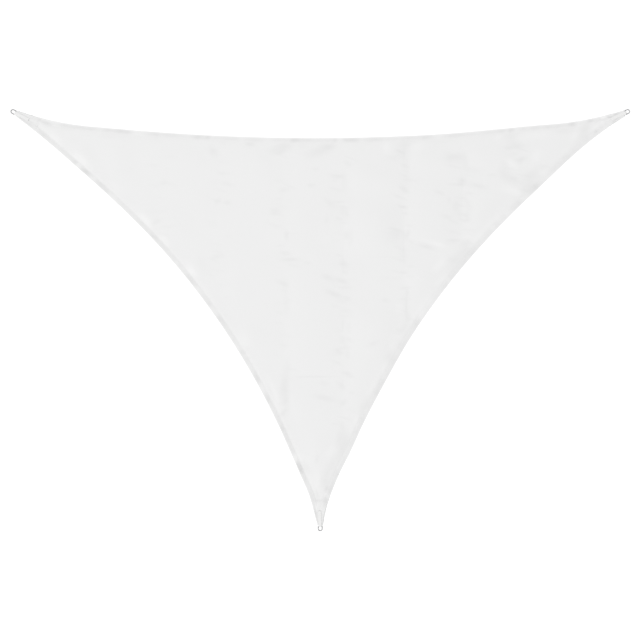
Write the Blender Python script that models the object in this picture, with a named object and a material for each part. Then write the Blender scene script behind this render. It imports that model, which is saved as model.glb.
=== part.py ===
"""A triangular shade sail of 5 x 5 x 6 m, laid out flat on the ground.

Metres, +Z up. The long hem runs along X, on the +Y side, and the foot corner
points to -Y. The origin is under the middle of the sail's bounding box, on the
surface that the sail lies on.
"""

import math
from bisect import bisect_right
from collections import namedtuple

import bmesh
import bpy
from mathutils import Matrix, Vector

# Cloth
CLOTH_THICK = 0.0015
HEM_WIDE = 0.045
HEM_THICK = 0.003
HEM_STEP = 0.004  # across this width the folded hem goes down to the single cloth
GAP = 0.0003  # between pieces that touch

# Outline: three edges, each a chord between two corners with a hollow cut into it
EDGE_STEPS = 36
EDGE_CROWDING = 0.36  # how much closer the outline's points lie near the corners

Edge = namedtuple("Edge", "start end")
EDGES = {
    "top": Edge((-3.007, 2.0705), (3.003, 2.0705)),
    "left": Edge((-3.004, 2.0135), (-0.029, -2.0145)),
    "right": Edge((3.0015, 2.0085), (0.0255, -2.0145)),
}
MIDDLE = Vector((0.0, 0.7))  # any place well inside the sail

Hollow = namedtuple("Hollow", "share top left right")
HOLLOWS_MM = (
    Hollow(0.00, 0, 0, 0),
    Hollow(0.02, 39, 28, 40),
    Hollow(0.05, 88, 69, 89),
    Hollow(0.10, 144, 130, 156),
    Hollow(0.15, 173, 184, 207),
    Hollow(0.20, 199, 238, 250),
    Hollow(0.30, 241, 329, 335),
    Hollow(0.40, 266, 390, 392),
    Hollow(0.50, 273, 413, 415),
    Hollow(0.60, 262, 401, 401),
    Hollow(0.70, 234, 353, 342),
    Hollow(0.80, 181, 271, 264),
    Hollow(0.85, 151, 216, 210),
    Hollow(0.90, 126, 159, 167),
    Hollow(0.95, 76, 98, 105),
    Hollow(0.98, 33, 39, 51),
    Hollow(1.00, 0, 0, 0),
)

# Folds left by the packet the sail came in: the cloth touches the ground along
# each fold and rises in a low pillow between one fold and the next
Pillow = namedtuple("Pillow", "start rise_mm")
UPRIGHT_FOLDS = (
    Pillow(-3.050, 6.0),
    Pillow(-2.161, 8.0),
    Pillow(-1.580, 7.0),
    Pillow(-0.998, 8.5),
    Pillow(-0.357, 6.5),
    Pillow(0.225, 9.0),
    Pillow(0.826, 10.0),
    Pillow(1.398, 8.0),
    Pillow(2.000, 6.5),
    Pillow(3.050, 0.0),
)
LEVEL_FOLDS = (
    Pillow(-2.060, 2.0),
    Pillow(-1.743, 2.5),
    Pillow(-1.152, 3.5),
    Pillow(-0.560, 2.5),
    Pillow(0.030, 3.0),
    Pillow(0.623, 4.0),
    Pillow(1.215, 3.0),
    Pillow(2.060, 0.0),
)
UPRIGHT_STRIPS = 8  # flat strips that make up the curve of each pillow
LEVEL_STRIPS = 8
FOLDS_START = 0.30  # the pillows reach their full rise this far in from the hem
TROUGHS_START = 0.3  # as a share of that width, where the troughs reach their full depth
LEAST_RISE = 0.2  # the share of a pillow's rise that no trough takes away
SNAP = 0.003  # a corner of a face this near a cutting line is taken to lie on it

# Where the cloth sinks between the pillows or, with a negative depth, stands up
Trough = namedtuple("Trough", "x y length wide heading_deg depth_mm")
TROUGHS = (
    # under the long hem, from left to right
    Trough(-1.067, 1.650, 0.32, 0.24, 20, 3.0),
    Trough(-0.465, 1.640, 0.36, 0.22, -10, 3.0),
    Trough(-0.040, 1.655, 0.40, 0.20, 0, 2.5),
    Trough(0.720, 1.660, 0.30, 0.24, 70, 3.0),
    Trough(1.349, 1.600, 0.32, 0.22, 0, 3.5),
    Trough(1.870, 1.560, 0.42, 0.22, 80, 4.0),
    # along the right-hand hem, from the top down
    Trough(2.069, 1.451, 0.40, 0.22, 40, 4.0),
    Trough(1.428, 0.702, 0.42, 0.22, 60, 4.5),
    Trough(0.708, -0.304, 0.40, 0.20, 60, 3.5),
    Trough(0.501, -0.728, 0.34, 0.18, 55, 3.0),
    Trough(0.264, -1.211, 0.40, 0.20, 62, 3.0),
    # in the middle, where the packet's folds were pressed askew
    Trough(1.020, 0.727, 0.42, 0.18, -12, 4.5),
    Trough(0.770, 0.840, 0.34, 0.22, 10, 3.5),
    Trough(0.190, 0.400, 0.30, 0.18, -22, 2.5),
    Trough(-0.200, 0.590, 0.36, 0.18, 0, 2.0),
    # along the left-hand hem
    Trough(-2.330, 1.600, 0.36, 0.26, -53, -3.0),
    Trough(-1.690, 1.010, 0.36, 0.24, -50, -3.0),
    Trough(-1.210, 0.530, 0.34, 0.24, -53, -3.5),
    Trough(-0.690, -0.170, 0.34, 0.22, -58, -2.5),
)

# Corners, measured along each corner's own line from the tip of its ring inwards
Corner = namedtuple("Corner", "name x y heading_deg")
CORNERS = (
    Corner("left", -3.0305, 2.0565, -27.5),
    Corner("right", 3.0305, 2.0565, 205.0),
    Corner("foot", -0.001, -2.0565, 91.5),
)
CLOTH_END = 0.053
WEB_END = 0.200
LIFT_END = 0.206  # up to here the cloth lies on the webbing's lower leg
RAMP_END = 0.250  # and here it is down on the ground
PATCH_END = 0.307
PATCH_INSET = 0.003

# Ring: a round bow, two short sides and a straight bar inside the webbing
WIRE = 0.006
BOW_RADIUS = 0.0195
BAR_FROM_BOW = 0.0245
BAR_BEND = 0.004
BEND_STEPS = 3
BOW_STEPS = 14
GROUND_CLEAR = 0.0001

# Webbing
WEB_WIDE = 0.030
WEB_THICK = 0.0015
WRAP_STEPS = 10
WEB_SLOPE = 0.015  # the upper leg comes down from the bar over this length

TIP_TO_BOW = BOW_RADIUS + WIRE / 2
BAR_AT = TIP_TO_BOW + BAR_FROM_BOW
WRAP_INNER = WIRE / 2 + GAP
WRAP_OUTER = WRAP_INNER + WEB_THICK
BAR_HEIGHT = WRAP_OUTER
LIFT = WEB_THICK + GAP
PATCH_BOTTOM = HEM_THICK + GAP  # above the sail cloth's underside
WEB_TOP_LEG = LIFT + PATCH_BOTTOM + CLOTH_THICK + GAP


def smooth_curve(stations, values):
    """A smooth curve through the given points, as a function of the station."""
    steps = [b - a for a, b in zip(stations, stations[1:])]
    rises = [(b - a) / h for a, b, h in zip(values, values[1:], steps)]
    slopes = [
        (h0 * r1 + h1 * r0) / (h0 + h1)
        for h0, h1, r0, r1 in zip(steps, steps[1:], rises, rises[1:])
    ]
    slopes.insert(0, 2 * rises[0] - slopes[0])
    slopes.append(2 * rises[-1] - slopes[-1])

    def value(station):
        i = min(max(bisect_right(stations, station) - 1, 0), len(steps) - 1)
        h = steps[i]
        u = (station - stations[i]) / h
        return (
            (1 + 2 * u) * (1 - u) ** 2 * values[i]
            + u * (1 - u) ** 2 * h * slopes[i]
            + u * u * (3 - 2 * u) * values[i + 1]
            + u * u * (u - 1) * h * slopes[i + 1]
        )

    return value


HOLLOW_OF = {
    name: smooth_curve([h.share for h in HOLLOWS_MM], [getattr(h, name) / 1000 for h in HOLLOWS_MM])
    for name in EDGES
}


def chord(edge):
    """An edge's start, its chord and the direction straight into the sail."""
    start, end = (Vector(p) for p in EDGES[edge])
    along = end - start
    inward = Vector((-along.y, along.x)).normalized()
    if inward.dot(MIDDLE - start) < 0:
        inward.negate()
    return start, along, inward


def edge_points(edge):
    """Points along an edge from its start to its end, closer together near the corners."""
    start, along, inward = chord(edge)
    points = []
    for k in range(EDGE_STEPS + 1):
        share = k / EDGE_STEPS
        share -= EDGE_CROWDING * math.sin(2 * math.pi * share) / (2 * math.pi)
        points.append(start + along * share + inward * HOLLOW_OF[edge](share))
    return points


def inside_by(x, y):
    """About how far a place is in from the nearest edge of the sail."""
    near = []
    for edge in EDGES:
        start, along, inward = chord(edge)
        offset = Vector((x, y)) - start
        share = min(max(offset.dot(along) / along.length_squared, 0.0), 1.0)
        near.append(offset.dot(inward) - HOLLOW_OF[edge](share))
    return min(near)


def smoothstep(share):
    share = min(max(share, 0.0), 1.0)
    return share * share * (3 - 2 * share)


def pillow_rise(folds, place):
    """The height of a row of pillows at a place across its folds."""
    for this, following in zip(folds, folds[1:]):
        if this.start <= place <= following.start:
            share = (place - this.start) / (following.start - this.start)
            return this.rise_mm / 1000 * 4 * share * (1 - share)
    return 0.0


def strip_edges(folds, strips):
    """The places where a row of pillows is divided into strips, its folds among them."""
    return [
        this.start + (following.start - this.start) * k / strips
        for this, following in zip(folds, folds[1:])
        for k in range(strips)
    ]


def inward_line(corner):
    """The direction from a corner's ring into the sail."""
    angle = math.radians(corner.heading_deg)
    return Vector((math.cos(angle), math.sin(angle)))


def along_corner(corner, x, y):
    """How far a place is from the tip of a corner's ring, along the corner's line."""
    return (Vector((x, y)) - Vector((corner.x, corner.y))).dot(inward_line(corner)) + TIP_TO_BOW


def lift(x, y):
    """How high the cloth's underside lies over the lower leg of the nearest webbing."""
    nearest = min(along_corner(corner, x, y) for corner in CORNERS)
    return LIFT * min(max((RAMP_END - nearest) / (RAMP_END - LIFT_END), 0.0), 1.0)


def sinking(x, y):
    """How far the troughs lower the cloth at a place."""
    total = 0.0
    for trough in TROUGHS:
        angle = math.radians(trough.heading_deg)
        away = Vector((x - trough.x, y - trough.y))
        along = abs(away.dot(Vector((math.cos(angle), math.sin(angle))))) / trough.length
        across = abs(away.dot(Vector((-math.sin(angle), math.cos(angle))))) / trough.wide
        if along < 0.5 and across < 0.5:
            share = math.cos(math.pi * along) * math.cos(math.pi * across)
            total += trough.depth_mm / 1000 * share * share
    return total


def underside(x, y):
    """The height of the sail cloth's underside."""
    share = (inside_by(x, y) - HEM_WIDE - HEM_STEP) / FOLDS_START
    rise = (pillow_rise(UPRIGHT_FOLDS, x) + pillow_rise(LEVEL_FOLDS, y)) * smoothstep(share)
    sunk = sinking(x, y) * smoothstep(share / TROUGHS_START)
    return lift(x, y) + max(rise - sunk, LEAST_RISE * rise)


def cut(bm, point, normal, clear_outer=False, faces=None):
    """Cut the flat cloth, or some of its faces, along a line.

    What lies on the normal's side is dropped if clear_outer is set.
    """
    faces = faces or bm.faces[:]
    borders = dict.fromkeys(part for face in faces for part in (*face.verts, *face.edges))
    bmesh.ops.bisect_plane(
        bm,
        geom=[*borders, *faces],
        dist=SNAP,
        plane_co=(point[0], point[1], 0),
        plane_no=(normal[0], normal[1], 0),
        clear_outer=clear_outer,
    )


def cut_corner(bm, corner, distance, clear_outer=False):
    """Cut square across a corner at a distance from its ring's tip."""
    towards_ring = -inward_line(corner)
    point = Vector((corner.x, corner.y)) - towards_ring * (distance - TIP_TO_BOW)
    cut(bm, point, towards_ring, clear_outer)


def flat_outline():
    """The sail's outline as one flat face, its corners cut square behind the rings."""
    bm = bmesh.new()
    loop = edge_points("left") + edge_points("right")[::-1] + edge_points("top")[::-1]
    bm.faces.new([bm.verts.new((p.x, p.y, 0)) for p in loop])
    for corner in CORNERS:
        cut_corner(bm, corner, CLOTH_END, clear_outer=True)
    return bm


def draw_in(bm, faces, width):
    """Draw flat faces in from their outline and return the faces that now go round them."""
    rim = bmesh.ops.inset_region(
        bm, faces=faces, thickness=width, use_even_offset=True, use_boundary=True
    )
    return rim["faces"]


def thicken(bm, bottom, thickness):
    """Lay the flat faces at bottom(vert) and give each point its own thickness(vert)."""
    bmesh.ops.triangulate(bm, faces=bm.faces[:])
    amount = bm.verts.layers.float.new("amount")
    for vert in bm.verts:
        vert[amount] = thickness(vert)
        vert.co.z = bottom(vert.co.x, vert.co.y)
    copied = bmesh.ops.extrude_face_region(bm, geom=bm.faces[:], use_keep_orig=True)
    for item in copied["geom"]:
        if isinstance(item, bmesh.types.BMVert):
            item.co.z += item[amount]
    bmesh.ops.recalc_face_normals(bm, faces=bm.faces[:])


def add_object(name, data, collection, material):
    item = bpy.data.objects.new(name, data)
    data.materials.append(material)
    collection.objects.link(item)
    return item


def mesh_object(name, bm, collection, material):
    mesh = bpy.data.meshes.new(name)
    bm.to_mesh(mesh)
    bm.free()
    return add_object(name, mesh, collection, material)


def new_material(name, colour, roughness, metallic=0.0):
    material = bpy.data.materials.new(name)
    material.use_nodes = True
    shader = material.node_tree.nodes["Principled BSDF"]
    shader.inputs["Base Color"].default_value = (*colour, 1)
    shader.inputs["Roughness"].default_value = roughness
    shader.inputs["Metallic"].default_value = metallic
    return material


def largest(faces):
    return max(faces, key=lambda face: face.calc_area())


def build_cloth(collection, material):
    """The sail cloth: one sheet with its hem folded in, and the low folds of the packet."""
    bm = flat_outline()
    single = bm.faces.layers.int.new("single")
    for corner in CORNERS:
        cut_corner(bm, corner, LIFT_END)
    field = largest(bm.faces)
    for width in (HEM_WIDE, HEM_STEP):
        draw_in(bm, [field], width)
    field[single] = 1

    for corner in CORNERS:
        cut_corner(bm, corner, RAMP_END)
    for x in strip_edges(UPRIGHT_FOLDS, UPRIGHT_STRIPS):
        cut(bm, (x, 0), (1, 0), faces=[face for face in bm.faces if face[single]])
    for y in strip_edges(LEVEL_FOLDS, LEVEL_STRIPS):
        cut(bm, (0, y), (0, 1), faces=[face for face in bm.faces if face[single]])

    def thickness(vert):
        inside_hem = any(face[single] for face in vert.link_faces)
        return CLOTH_THICK if inside_hem else HEM_THICK

    thicken(bm, underside, thickness)
    return mesh_object("sail_cloth", bm, collection, material)


def build_patch(corner, collection, material):
    """The second layer of cloth sewn over a corner, on top of the hems."""
    bm = flat_outline()
    cut_corner(bm, corner, PATCH_END)
    for face in [f for f in bm.faces if along_corner(corner, *f.calc_center_median().xy) > PATCH_END]:
        bm.faces.remove(face)
    bmesh.ops.delete(bm, geom=[e for e in bm.edges if not e.link_faces], context="EDGES")
    bmesh.ops.delete(bm, geom=draw_in(bm, bm.faces[:], PATCH_INSET), context="FACES")
    cut_corner(bm, corner, LIFT_END)
    cut_corner(bm, corner, RAMP_END)
    thicken(bm, lambda x, y: lift(x, y) + PATCH_BOTTOM, lambda vert: CLOTH_THICK)
    return mesh_object(f"corner_patch_{corner.name}", bm, collection, material)


def closed_polyline(name, points):
    """A curve that goes round through the points in straight pieces."""
    data = bpy.data.curves.new(name, "CURVE")
    spline = data.splines.new("POLY")
    spline.points.add(len(points) - 1)
    for point, place in zip(spline.points, points):
        point.co = (*place, 0, 1)
    spline.use_cyclic_u = True
    return data


def arc(centre, radius, start_deg, end_deg, steps):
    angles = [math.radians(start_deg + (end_deg - start_deg) * k / steps) for k in range(steps + 1)]
    return [(centre[0] + radius * math.cos(a), centre[1] + radius * math.sin(a)) for a in angles]


def corner_frame(corner, distance, height, x_axis, y_axis):
    """A placement on a corner's line, with the given local axes as (inward, across, up)."""
    inward = inward_line(corner).to_3d()
    basis = Matrix((inward, Vector((-inward.y, inward.x, 0)), Vector((0, 0, 1)))).transposed()
    x_world = basis @ Vector(x_axis)
    y_world = basis @ Vector(y_axis)
    turn = Matrix((x_world, y_world, x_world.cross(y_world))).transposed().to_4x4()
    place = Vector((corner.x, corner.y, height)) + inward * (distance - TIP_TO_BOW)
    return Matrix.Translation(place) @ turn


def build_webbing(corner, collection, material):
    """A strip of webbing folded round the ring's bar, one leg under the cloth and one on it."""
    bar = (BAR_AT, BAR_HEIGHT)
    outer = [(WEB_END, 0)] + arc(bar, WRAP_OUTER, -90, -270, WRAP_STEPS)
    outer += [(BAR_AT + WEB_SLOPE, WEB_TOP_LEG + WEB_THICK), (WEB_END, WEB_TOP_LEG + WEB_THICK)]
    inner = [(WEB_END, WEB_TOP_LEG), (BAR_AT + WEB_SLOPE, WEB_TOP_LEG)]
    inner += arc(bar, WRAP_INNER, 90, 270, WRAP_STEPS) + [(WEB_END, WEB_THICK)]
    data = closed_polyline("webbing_loop", outer + inner)
    data.dimensions = "2D"
    data.fill_mode = "BOTH"
    data.extrude = WEB_WIDE / 2
    item = add_object(f"webbing_loop_{corner.name}", data, collection, material)
    item.matrix_world = corner_frame(corner, 0, 0, (1, 0, 0), (0, 0, 1))
    return item


def build_ring(corner, collection, material):
    """A wire ring: the bow lies on the ground and the bar is held up in the webbing."""
    bend = BAR_FROM_BOW - BAR_BEND, BOW_RADIUS - BAR_BEND
    points = arc((0, 0), BOW_RADIUS, 90, 270, BOW_STEPS)
    points += arc((bend[0], -bend[1]), BAR_BEND, -90, 0, BEND_STEPS)
    points += arc(bend, BAR_BEND, 0, 90, BEND_STEPS)
    data = closed_polyline("d_ring", points)
    data.dimensions = "3D"
    data.bevel_depth = WIRE / 2
    data.bevel_resolution = 2
    tip_height = WIRE / 2 + GROUND_CLEAR
    slope = math.asin((BAR_HEIGHT - tip_height) / (BAR_FROM_BOW + BOW_RADIUS))
    bow_height = tip_height + BOW_RADIUS * math.sin(slope)
    item = add_object(f"d_ring_{corner.name}", data, collection, material)
    item.matrix_world = corner_frame(
        corner, TIP_TO_BOW, bow_height, (math.cos(slope), 0, math.sin(slope)), (0, 1, 0)
    )
    return item


def main():
    for item in list(bpy.data.objects):
        bpy.data.objects.remove(item, do_unlink=True)
    sail = bpy.data.collections.new("shade_sail")
    bpy.context.scene.collection.children.link(sail)

    build_cloth(sail, new_material("sail_cloth_white", (0.84, 0.84, 0.84), 0.75))
    patch_cloth = new_material("patch_cloth_white", (0.83, 0.83, 0.83), 0.75)
    webbing = new_material("webbing_white", (0.80, 0.80, 0.79), 0.7)
    steel = new_material("ring_steel", (0.62, 0.62, 0.63), 0.25, metallic=1.0)
    for corner in CORNERS:
        build_patch(corner, sail, patch_cloth)
        build_webbing(corner, sail, webbing)
        build_ring(corner, sail, steel)


main()
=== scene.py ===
"""The looks of a white triangular shade sail of 5 x 5 x 6 m, laid out on a pale floor.

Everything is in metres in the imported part's frame: +X along the long hem, +Y from
the foot corner to the long hem, +Z up from the floor. The sizes that the solids
have are repeated here by the same names.
"""

import logging
import math
from dataclasses import dataclass, field, replace
from enum import Enum
from typing import Callable, ClassVar, Iterable, Sequence

import bmesh
import bpy
import numpy as np
from mathutils import Matrix, Vector


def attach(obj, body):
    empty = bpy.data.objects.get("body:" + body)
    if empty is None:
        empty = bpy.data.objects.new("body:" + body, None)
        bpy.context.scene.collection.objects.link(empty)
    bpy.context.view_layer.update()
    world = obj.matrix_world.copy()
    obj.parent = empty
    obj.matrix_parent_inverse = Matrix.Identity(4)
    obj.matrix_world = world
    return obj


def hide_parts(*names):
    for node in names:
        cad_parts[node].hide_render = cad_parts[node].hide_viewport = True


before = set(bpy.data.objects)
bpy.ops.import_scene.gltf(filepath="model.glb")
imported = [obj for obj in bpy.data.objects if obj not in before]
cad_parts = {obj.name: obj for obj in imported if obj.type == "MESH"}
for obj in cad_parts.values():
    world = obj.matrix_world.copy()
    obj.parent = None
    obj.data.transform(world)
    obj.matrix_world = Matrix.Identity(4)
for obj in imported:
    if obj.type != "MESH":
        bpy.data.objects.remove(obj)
LOG = logging.getLogger("shade_sail")

MM = 0.001
Colour = tuple[float, float, float]
Array = np.ndarray
Curve = Callable[[Array], Array]
Mesh = bmesh.types.BMesh
MeshEdge = bmesh.types.BMEdge
MeshFace = bmesh.types.BMFace
MeshVert = bmesh.types.BMVert
Layer = bmesh.types.BMLayerItem
Material = bpy.types.Material
Piece = bpy.types.Object


# ---------------------------------------------------------------- shader graph


class Socket:
    """One output in a material, on which Python's operators add Math nodes."""

    def __init__(self, graph: "Graph", link: bpy.types.NodeSocket) -> None:
        """Wrap an output socket of a graph."""
        self.graph = graph
        self.link = link

    def math(self, operation: str, *values: "Socket | float") -> "Socket":
        """Put this value first into a Math node.

        Args:
            operation: the Math node's operation.
            values: its second and third inputs.

        Returns:
            The node's result.
        """
        inputs = dict(enumerate((self, *values)))
        return self.graph.node("ShaderNodeMath", {"operation": operation}, inputs)

    def __add__(self, other: "Socket | float") -> "Socket":
        """Return the sum."""
        return self.math("ADD", other)

    __radd__ = __add__

    def __sub__(self, other: "Socket | float") -> "Socket":
        """Return the difference."""
        return self.math("SUBTRACT", other)

    def __rsub__(self, other: float) -> "Socket":
        """Return a number less this value."""
        inputs = {0: other, 1: self}
        return self.graph.node("ShaderNodeMath", {"operation": "SUBTRACT"}, inputs)

    def __mul__(self, other: "Socket | float") -> "Socket":
        """Return the product."""
        return self.math("MULTIPLY", other)

    __rmul__ = __mul__

    def __pow__(self, other: "Socket | float") -> "Socket":
        """Return the power."""
        return self.math("POWER", other)

    def sine(self) -> "Socket":
        """Return the sine of this angle in radians."""
        return self.math("SINE")


class Graph:
    """The nodes of one material."""

    def __init__(self, name: str) -> None:
        """Start an empty material."""
        self.material = bpy.data.materials.new(name)
        self.material.use_nodes = True
        self.tree = self.material.node_tree
        self.tree.nodes.clear()

    def node(
        self,
        kind: str,
        settings: dict[str, object] | None = None,
        values: dict[int | str, object] | None = None,
        output: int | str = 0,
    ) -> Socket:
        """Add a node.

        Args:
            kind: the node's type.
            settings: its own properties, set before its inputs.
            values: numbers, colours or sockets for its inputs, by name or place.
            output: the output to return, by name or place.

        Returns:
            The chosen output.
        """
        made = self.tree.nodes.new(kind)
        for key, setting in (settings or {}).items():
            setattr(made, key, setting)
        for key, value in (values or {}).items():
            if isinstance(value, Socket):
                self.tree.links.new(value.link, made.inputs[key])
            else:
                made.inputs[key].default_value = value
        return Socket(self, made.outputs[output])

    def coordinates(self, kind: str = "Object") -> Socket:
        """Return the piece's own coordinates, Object or UV."""
        return self.node("ShaderNodeTexCoord", output=kind)

    def axis(self, vector: Socket, axis: str) -> Socket:
        """Return one axis of a vector."""
        return self.node("ShaderNodeSeparateXYZ", values={0: vector}, output=axis)

    def noise(
        self, vector: Socket, scale: float, detail: float = 2.0, stretch: Colour = (1, 1, 1)
    ) -> Socket:
        """Add a noise texture, from 0 to 1.

        Args:
            vector: where it is read.
            scale: its waves per metre.
            detail: its octaves.
            stretch: a factor on the scale for each axis.

        Returns:
            The noise.
        """
        placed = self.node("ShaderNodeMapping", values={"Vector": vector, "Scale": stretch})
        values = {"Vector": placed, "Scale": scale, "Detail": detail}
        return self.node("ShaderNodeTexNoise", values=values)

    def attribute(self, name: str) -> Socket:
        """Return a value that the mesh carries at its points."""
        return self.node("ShaderNodeAttribute", {"attribute_name": name}, output="Fac")

    def blend(self, factor: Socket, low: Colour, high: Colour) -> Socket:
        """Return a colour between two, low where the factor is 0."""
        values = {0: factor, 6: (*low, 1.0), 7: (*high, 1.0)}
        return self.node("ShaderNodeMix", {"data_type": "RGBA"}, values, output=2)

    def bump(self, height: Socket, strength: float) -> Socket:
        """Return normals that follow a height in metres."""
        values = {"Height": height, "Distance": 1.0, "Strength": strength}
        return self.node("ShaderNodeBump", values=values)

    def finish(self, **values: object) -> Material:
        """Close the material with a Principled shader.

        Args:
            values: the shader's inputs, with _ for the spaces in their names.

        Returns:
            The material.
        """
        inputs = {key.replace("_", " "): value for key, value in values.items()}
        surface = self.node("ShaderNodeBsdfPrincipled", values=inputs)
        made = self.tree.nodes.new("ShaderNodeOutputMaterial")
        self.tree.links.new(surface.link, made.inputs["Surface"])
        return self.material


def dimmed(colour: Colour, share: float) -> Colour:
    """Return a colour with each part taken down to a share."""
    return tuple(part * share for part in colour)


# -------------------------------------------------------------------- finishes


@dataclass(frozen=True)
class ClothFinish:
    """Matt white plain-woven polyester; the points' hem and shade values paint shade into its
    colour, and highlights where they are negative.
    """

    name: str
    colour: Colour = (0.708, 0.708, 0.708)
    hem_share: float = 0.947
    shade_share: float = 0.946
    headroom: float = 0.9
    thread: float = 1.2 * MM
    thread_rise: float = 0.05 * MM
    slub_rise: float = 0.10 * MM
    slub_scale: float = 14.0
    slub_stretch: float = 26.0
    slub_tone: float = 0.012
    cloud_scale: float = 1.6
    cloud_tone: float = 0.010
    # painted shade along the hem, mottled by noise
    hem_shade_mottle_scale: float = 22.0
    hem_shade_mottle_tone: float = 0.05
    roughness: float = 0.86
    slub_roughness: float = 0.12
    relief: float = 0.35

    def material(self) -> Material:
        """Build the material."""
        graph = Graph(self.name)
        place = graph.coordinates()
        turn = math.pi / self.thread
        warp = (graph.axis(place, "X") * turn).sine()
        weft = (graph.axis(place, "Y") * turn).sine()
        stretches = ((1.0, self.slub_stretch, 1.0), (self.slub_stretch, 1.0, 1.0))
        upright, level = (graph.noise(place, self.slub_scale, 3.0, way) for way in stretches)
        slubs = upright + level
        clouds = graph.noise(place, self.cloud_scale, 4.0)
        hem = graph.attribute("hem")
        shade = graph.attribute("shade")
        hem_shade_mottle = graph.noise(place, self.hem_shade_mottle_scale)
        # painted shade of the hem and the creases, painted highlights on the hem's turned edge and
        # on ridges, and random tone from slubs and clouds; the headroom lets the highlights rise
        # above the cloth's colour
        light = (
            1.0
            - hem * (1.0 - self.hem_share)
            - hem * (hem_shade_mottle - 0.5) * self.hem_shade_mottle_tone
            - shade * (1.0 - self.shade_share)
            + (slubs - 1.0) * self.slub_tone
            + (clouds - 0.5) * self.cloud_tone
        )
        height = warp * weft * self.thread_rise + slubs * self.slub_rise
        return graph.finish(
            Base_Color=graph.blend(
                light * self.headroom, (0, 0, 0), dimmed(self.colour, 1 / self.headroom)
            ),
            Roughness=self.roughness + (slubs - 1.0) * self.slub_roughness,
            Specular_IOR_Level=0.25,
            Sheen_Weight=0.08,
            Sheen_Roughness=0.5,
            Normal=graph.bump(height, self.relief),
        )


@dataclass(frozen=True)
class WebbingFinish:
    """White woven tape with ribs along it, read from the tape's own UV map in metres."""

    name: str = "webbing_tape_white"
    colour: Colour = (0.735, 0.735, 0.732)
    rib: float = 2.4 * MM
    pick: float = 1.3 * MM
    rise: float = 0.16 * MM
    fibre_scale: float = 900.0
    ground_tone: float = 0.90
    weave_tone: float = 0.09
    fibre_tone: float = 0.06
    roughness: float = 0.62

    def material(self) -> Material:
        """Build the material."""
        graph = Graph(self.name)
        place = graph.coordinates("UV")
        along = graph.axis(place, "X")
        across = graph.axis(place, "Y")
        wave = (across * (math.pi / self.rib)).sine()
        ribs = wave.math("ABSOLUTE")
        side = wave.math("SIGN")
        picks = (along * (math.pi / self.pick) + side * (math.pi / 2)).sine().math("ABSOLUTE")
        weave = (ribs**0.5) * (picks * 0.5 + 0.5)
        fibres = graph.noise(place, self.fibre_scale, stretch=(0.15, 1.0, 1.0))
        light = self.ground_tone + weave * self.weave_tone + (fibres - 0.5) * self.fibre_tone
        return graph.finish(
            Base_Color=graph.blend(light, (0, 0, 0), self.colour),
            Roughness=self.roughness + (1.0 - weave) * 0.2,
            Specular_IOR_Level=0.4,
            Normal=graph.bump((weave + fibres * 0.2) * self.rise, 0.6),
        )


@dataclass(frozen=True)
class ThreadFinish:
    """White polyester sewing thread, lighter than the cloth as painted light that makes up for the
    shade each stitch casts.
    """

    name: str = "thread_white"
    # lighter than the cloth: painted light against the stitches' own shade
    colour: Colour = (0.80, 0.80, 0.797)
    fibre_scale: float = 2600.0
    rise: float = 0.05 * MM

    def material(self) -> Material:
        """Build the material."""
        graph = Graph(self.name)
        fibres = graph.noise(graph.coordinates(), self.fibre_scale)
        return graph.finish(
            Base_Color=graph.blend(0.90 + fibres * 0.2, (0, 0, 0), self.colour),
            Roughness=0.5 + fibres * 0.2,
            Normal=graph.bump(fibres * self.rise, 0.5),
        )


@dataclass(frozen=True)
class SteelFinish:
    """Polished stainless wire with fine drawing marks and a little wear on its outside. Its colour
    is darker than stainless steel's, a painted reflection of dark surroundings.
    """

    name: str = "ring_stainless"
    # darker than real stainless: painted reflection of dark surroundings
    colour: Colour = (0.26, 0.26, 0.27)
    mark_scale: float = 2200.0
    mark_rise: float = 0.012 * MM
    wear_scale: float = 90.0

    def material(self) -> Material:
        """Build the material."""
        graph = Graph(self.name)
        place = graph.coordinates()
        marks = graph.noise(place, self.mark_scale, 3.0, (0.25, 0.25, 1.0))
        wear = graph.noise(place, self.wear_scale, 3.0)
        return graph.finish(
            Base_Color=graph.blend(0.86 + wear * 0.28, (0, 0, 0), self.colour),
            Metallic=1.0,
            Roughness=0.16 + marks * 0.12 + wear * 0.08,
            Normal=graph.bump(marks * self.mark_rise, 0.5),
        )


@dataclass(frozen=True)
class FloorFinish:
    """A plain white studio floor."""

    name: str = "floor_white"
    colour: Colour = (0.97, 0.97, 0.97)
    cloud_scale: float = 0.8

    def material(self) -> Material:
        """Build the material."""
        graph = Graph(self.name)
        clouds = graph.noise(graph.coordinates(), self.cloud_scale)
        return graph.finish(
            Base_Color=graph.blend(0.99 + clouds * 0.01, (0, 0, 0), self.colour),
            Roughness=0.9,
            Specular_IOR_Level=0.0,
        )


# ------------------------------------------------------------------- flat plan


def smooth_curve(stations: Sequence[float], values: Sequence[float]) -> Callable:
    """Make a smooth curve through the given points.

    Args:
        stations: where the points are, in rising order.
        values: the curve's value at each of them.

    Returns:
        A function from stations to values, for numbers and arrays.
    """
    at = np.array(stations, float)
    heights = np.array(values, float)
    steps = np.diff(at)
    rises = np.diff(heights) / steps
    inner = (steps[:-1] * rises[1:] + steps[1:] * rises[:-1]) / (steps[:-1] + steps[1:])
    slopes = np.concatenate([[2 * rises[0] - inner[0]], inner, [2 * rises[-1] - inner[-1]]])

    def value(station: Array) -> Array:
        """Return the curve's value."""
        i = np.clip(np.searchsorted(at, station, side="right") - 1, 0, len(steps) - 1)
        h = steps[i]
        u = (station - at[i]) / h
        return (
            (1 + 2 * u) * (1 - u) ** 2 * heights[i]
            + u * (1 - u) ** 2 * h * slopes[i]
            + u * u * (3 - 2 * u) * heights[i + 1]
            + u * u * (u - 1) * h * slopes[i + 1]
        )

    return value


def smoothstep(share: Array) -> Array:
    """Return a soft step from 0 to 1."""
    share = np.clip(share, 0.0, 1.0)
    return share * share * (3 - 2 * share)


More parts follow.
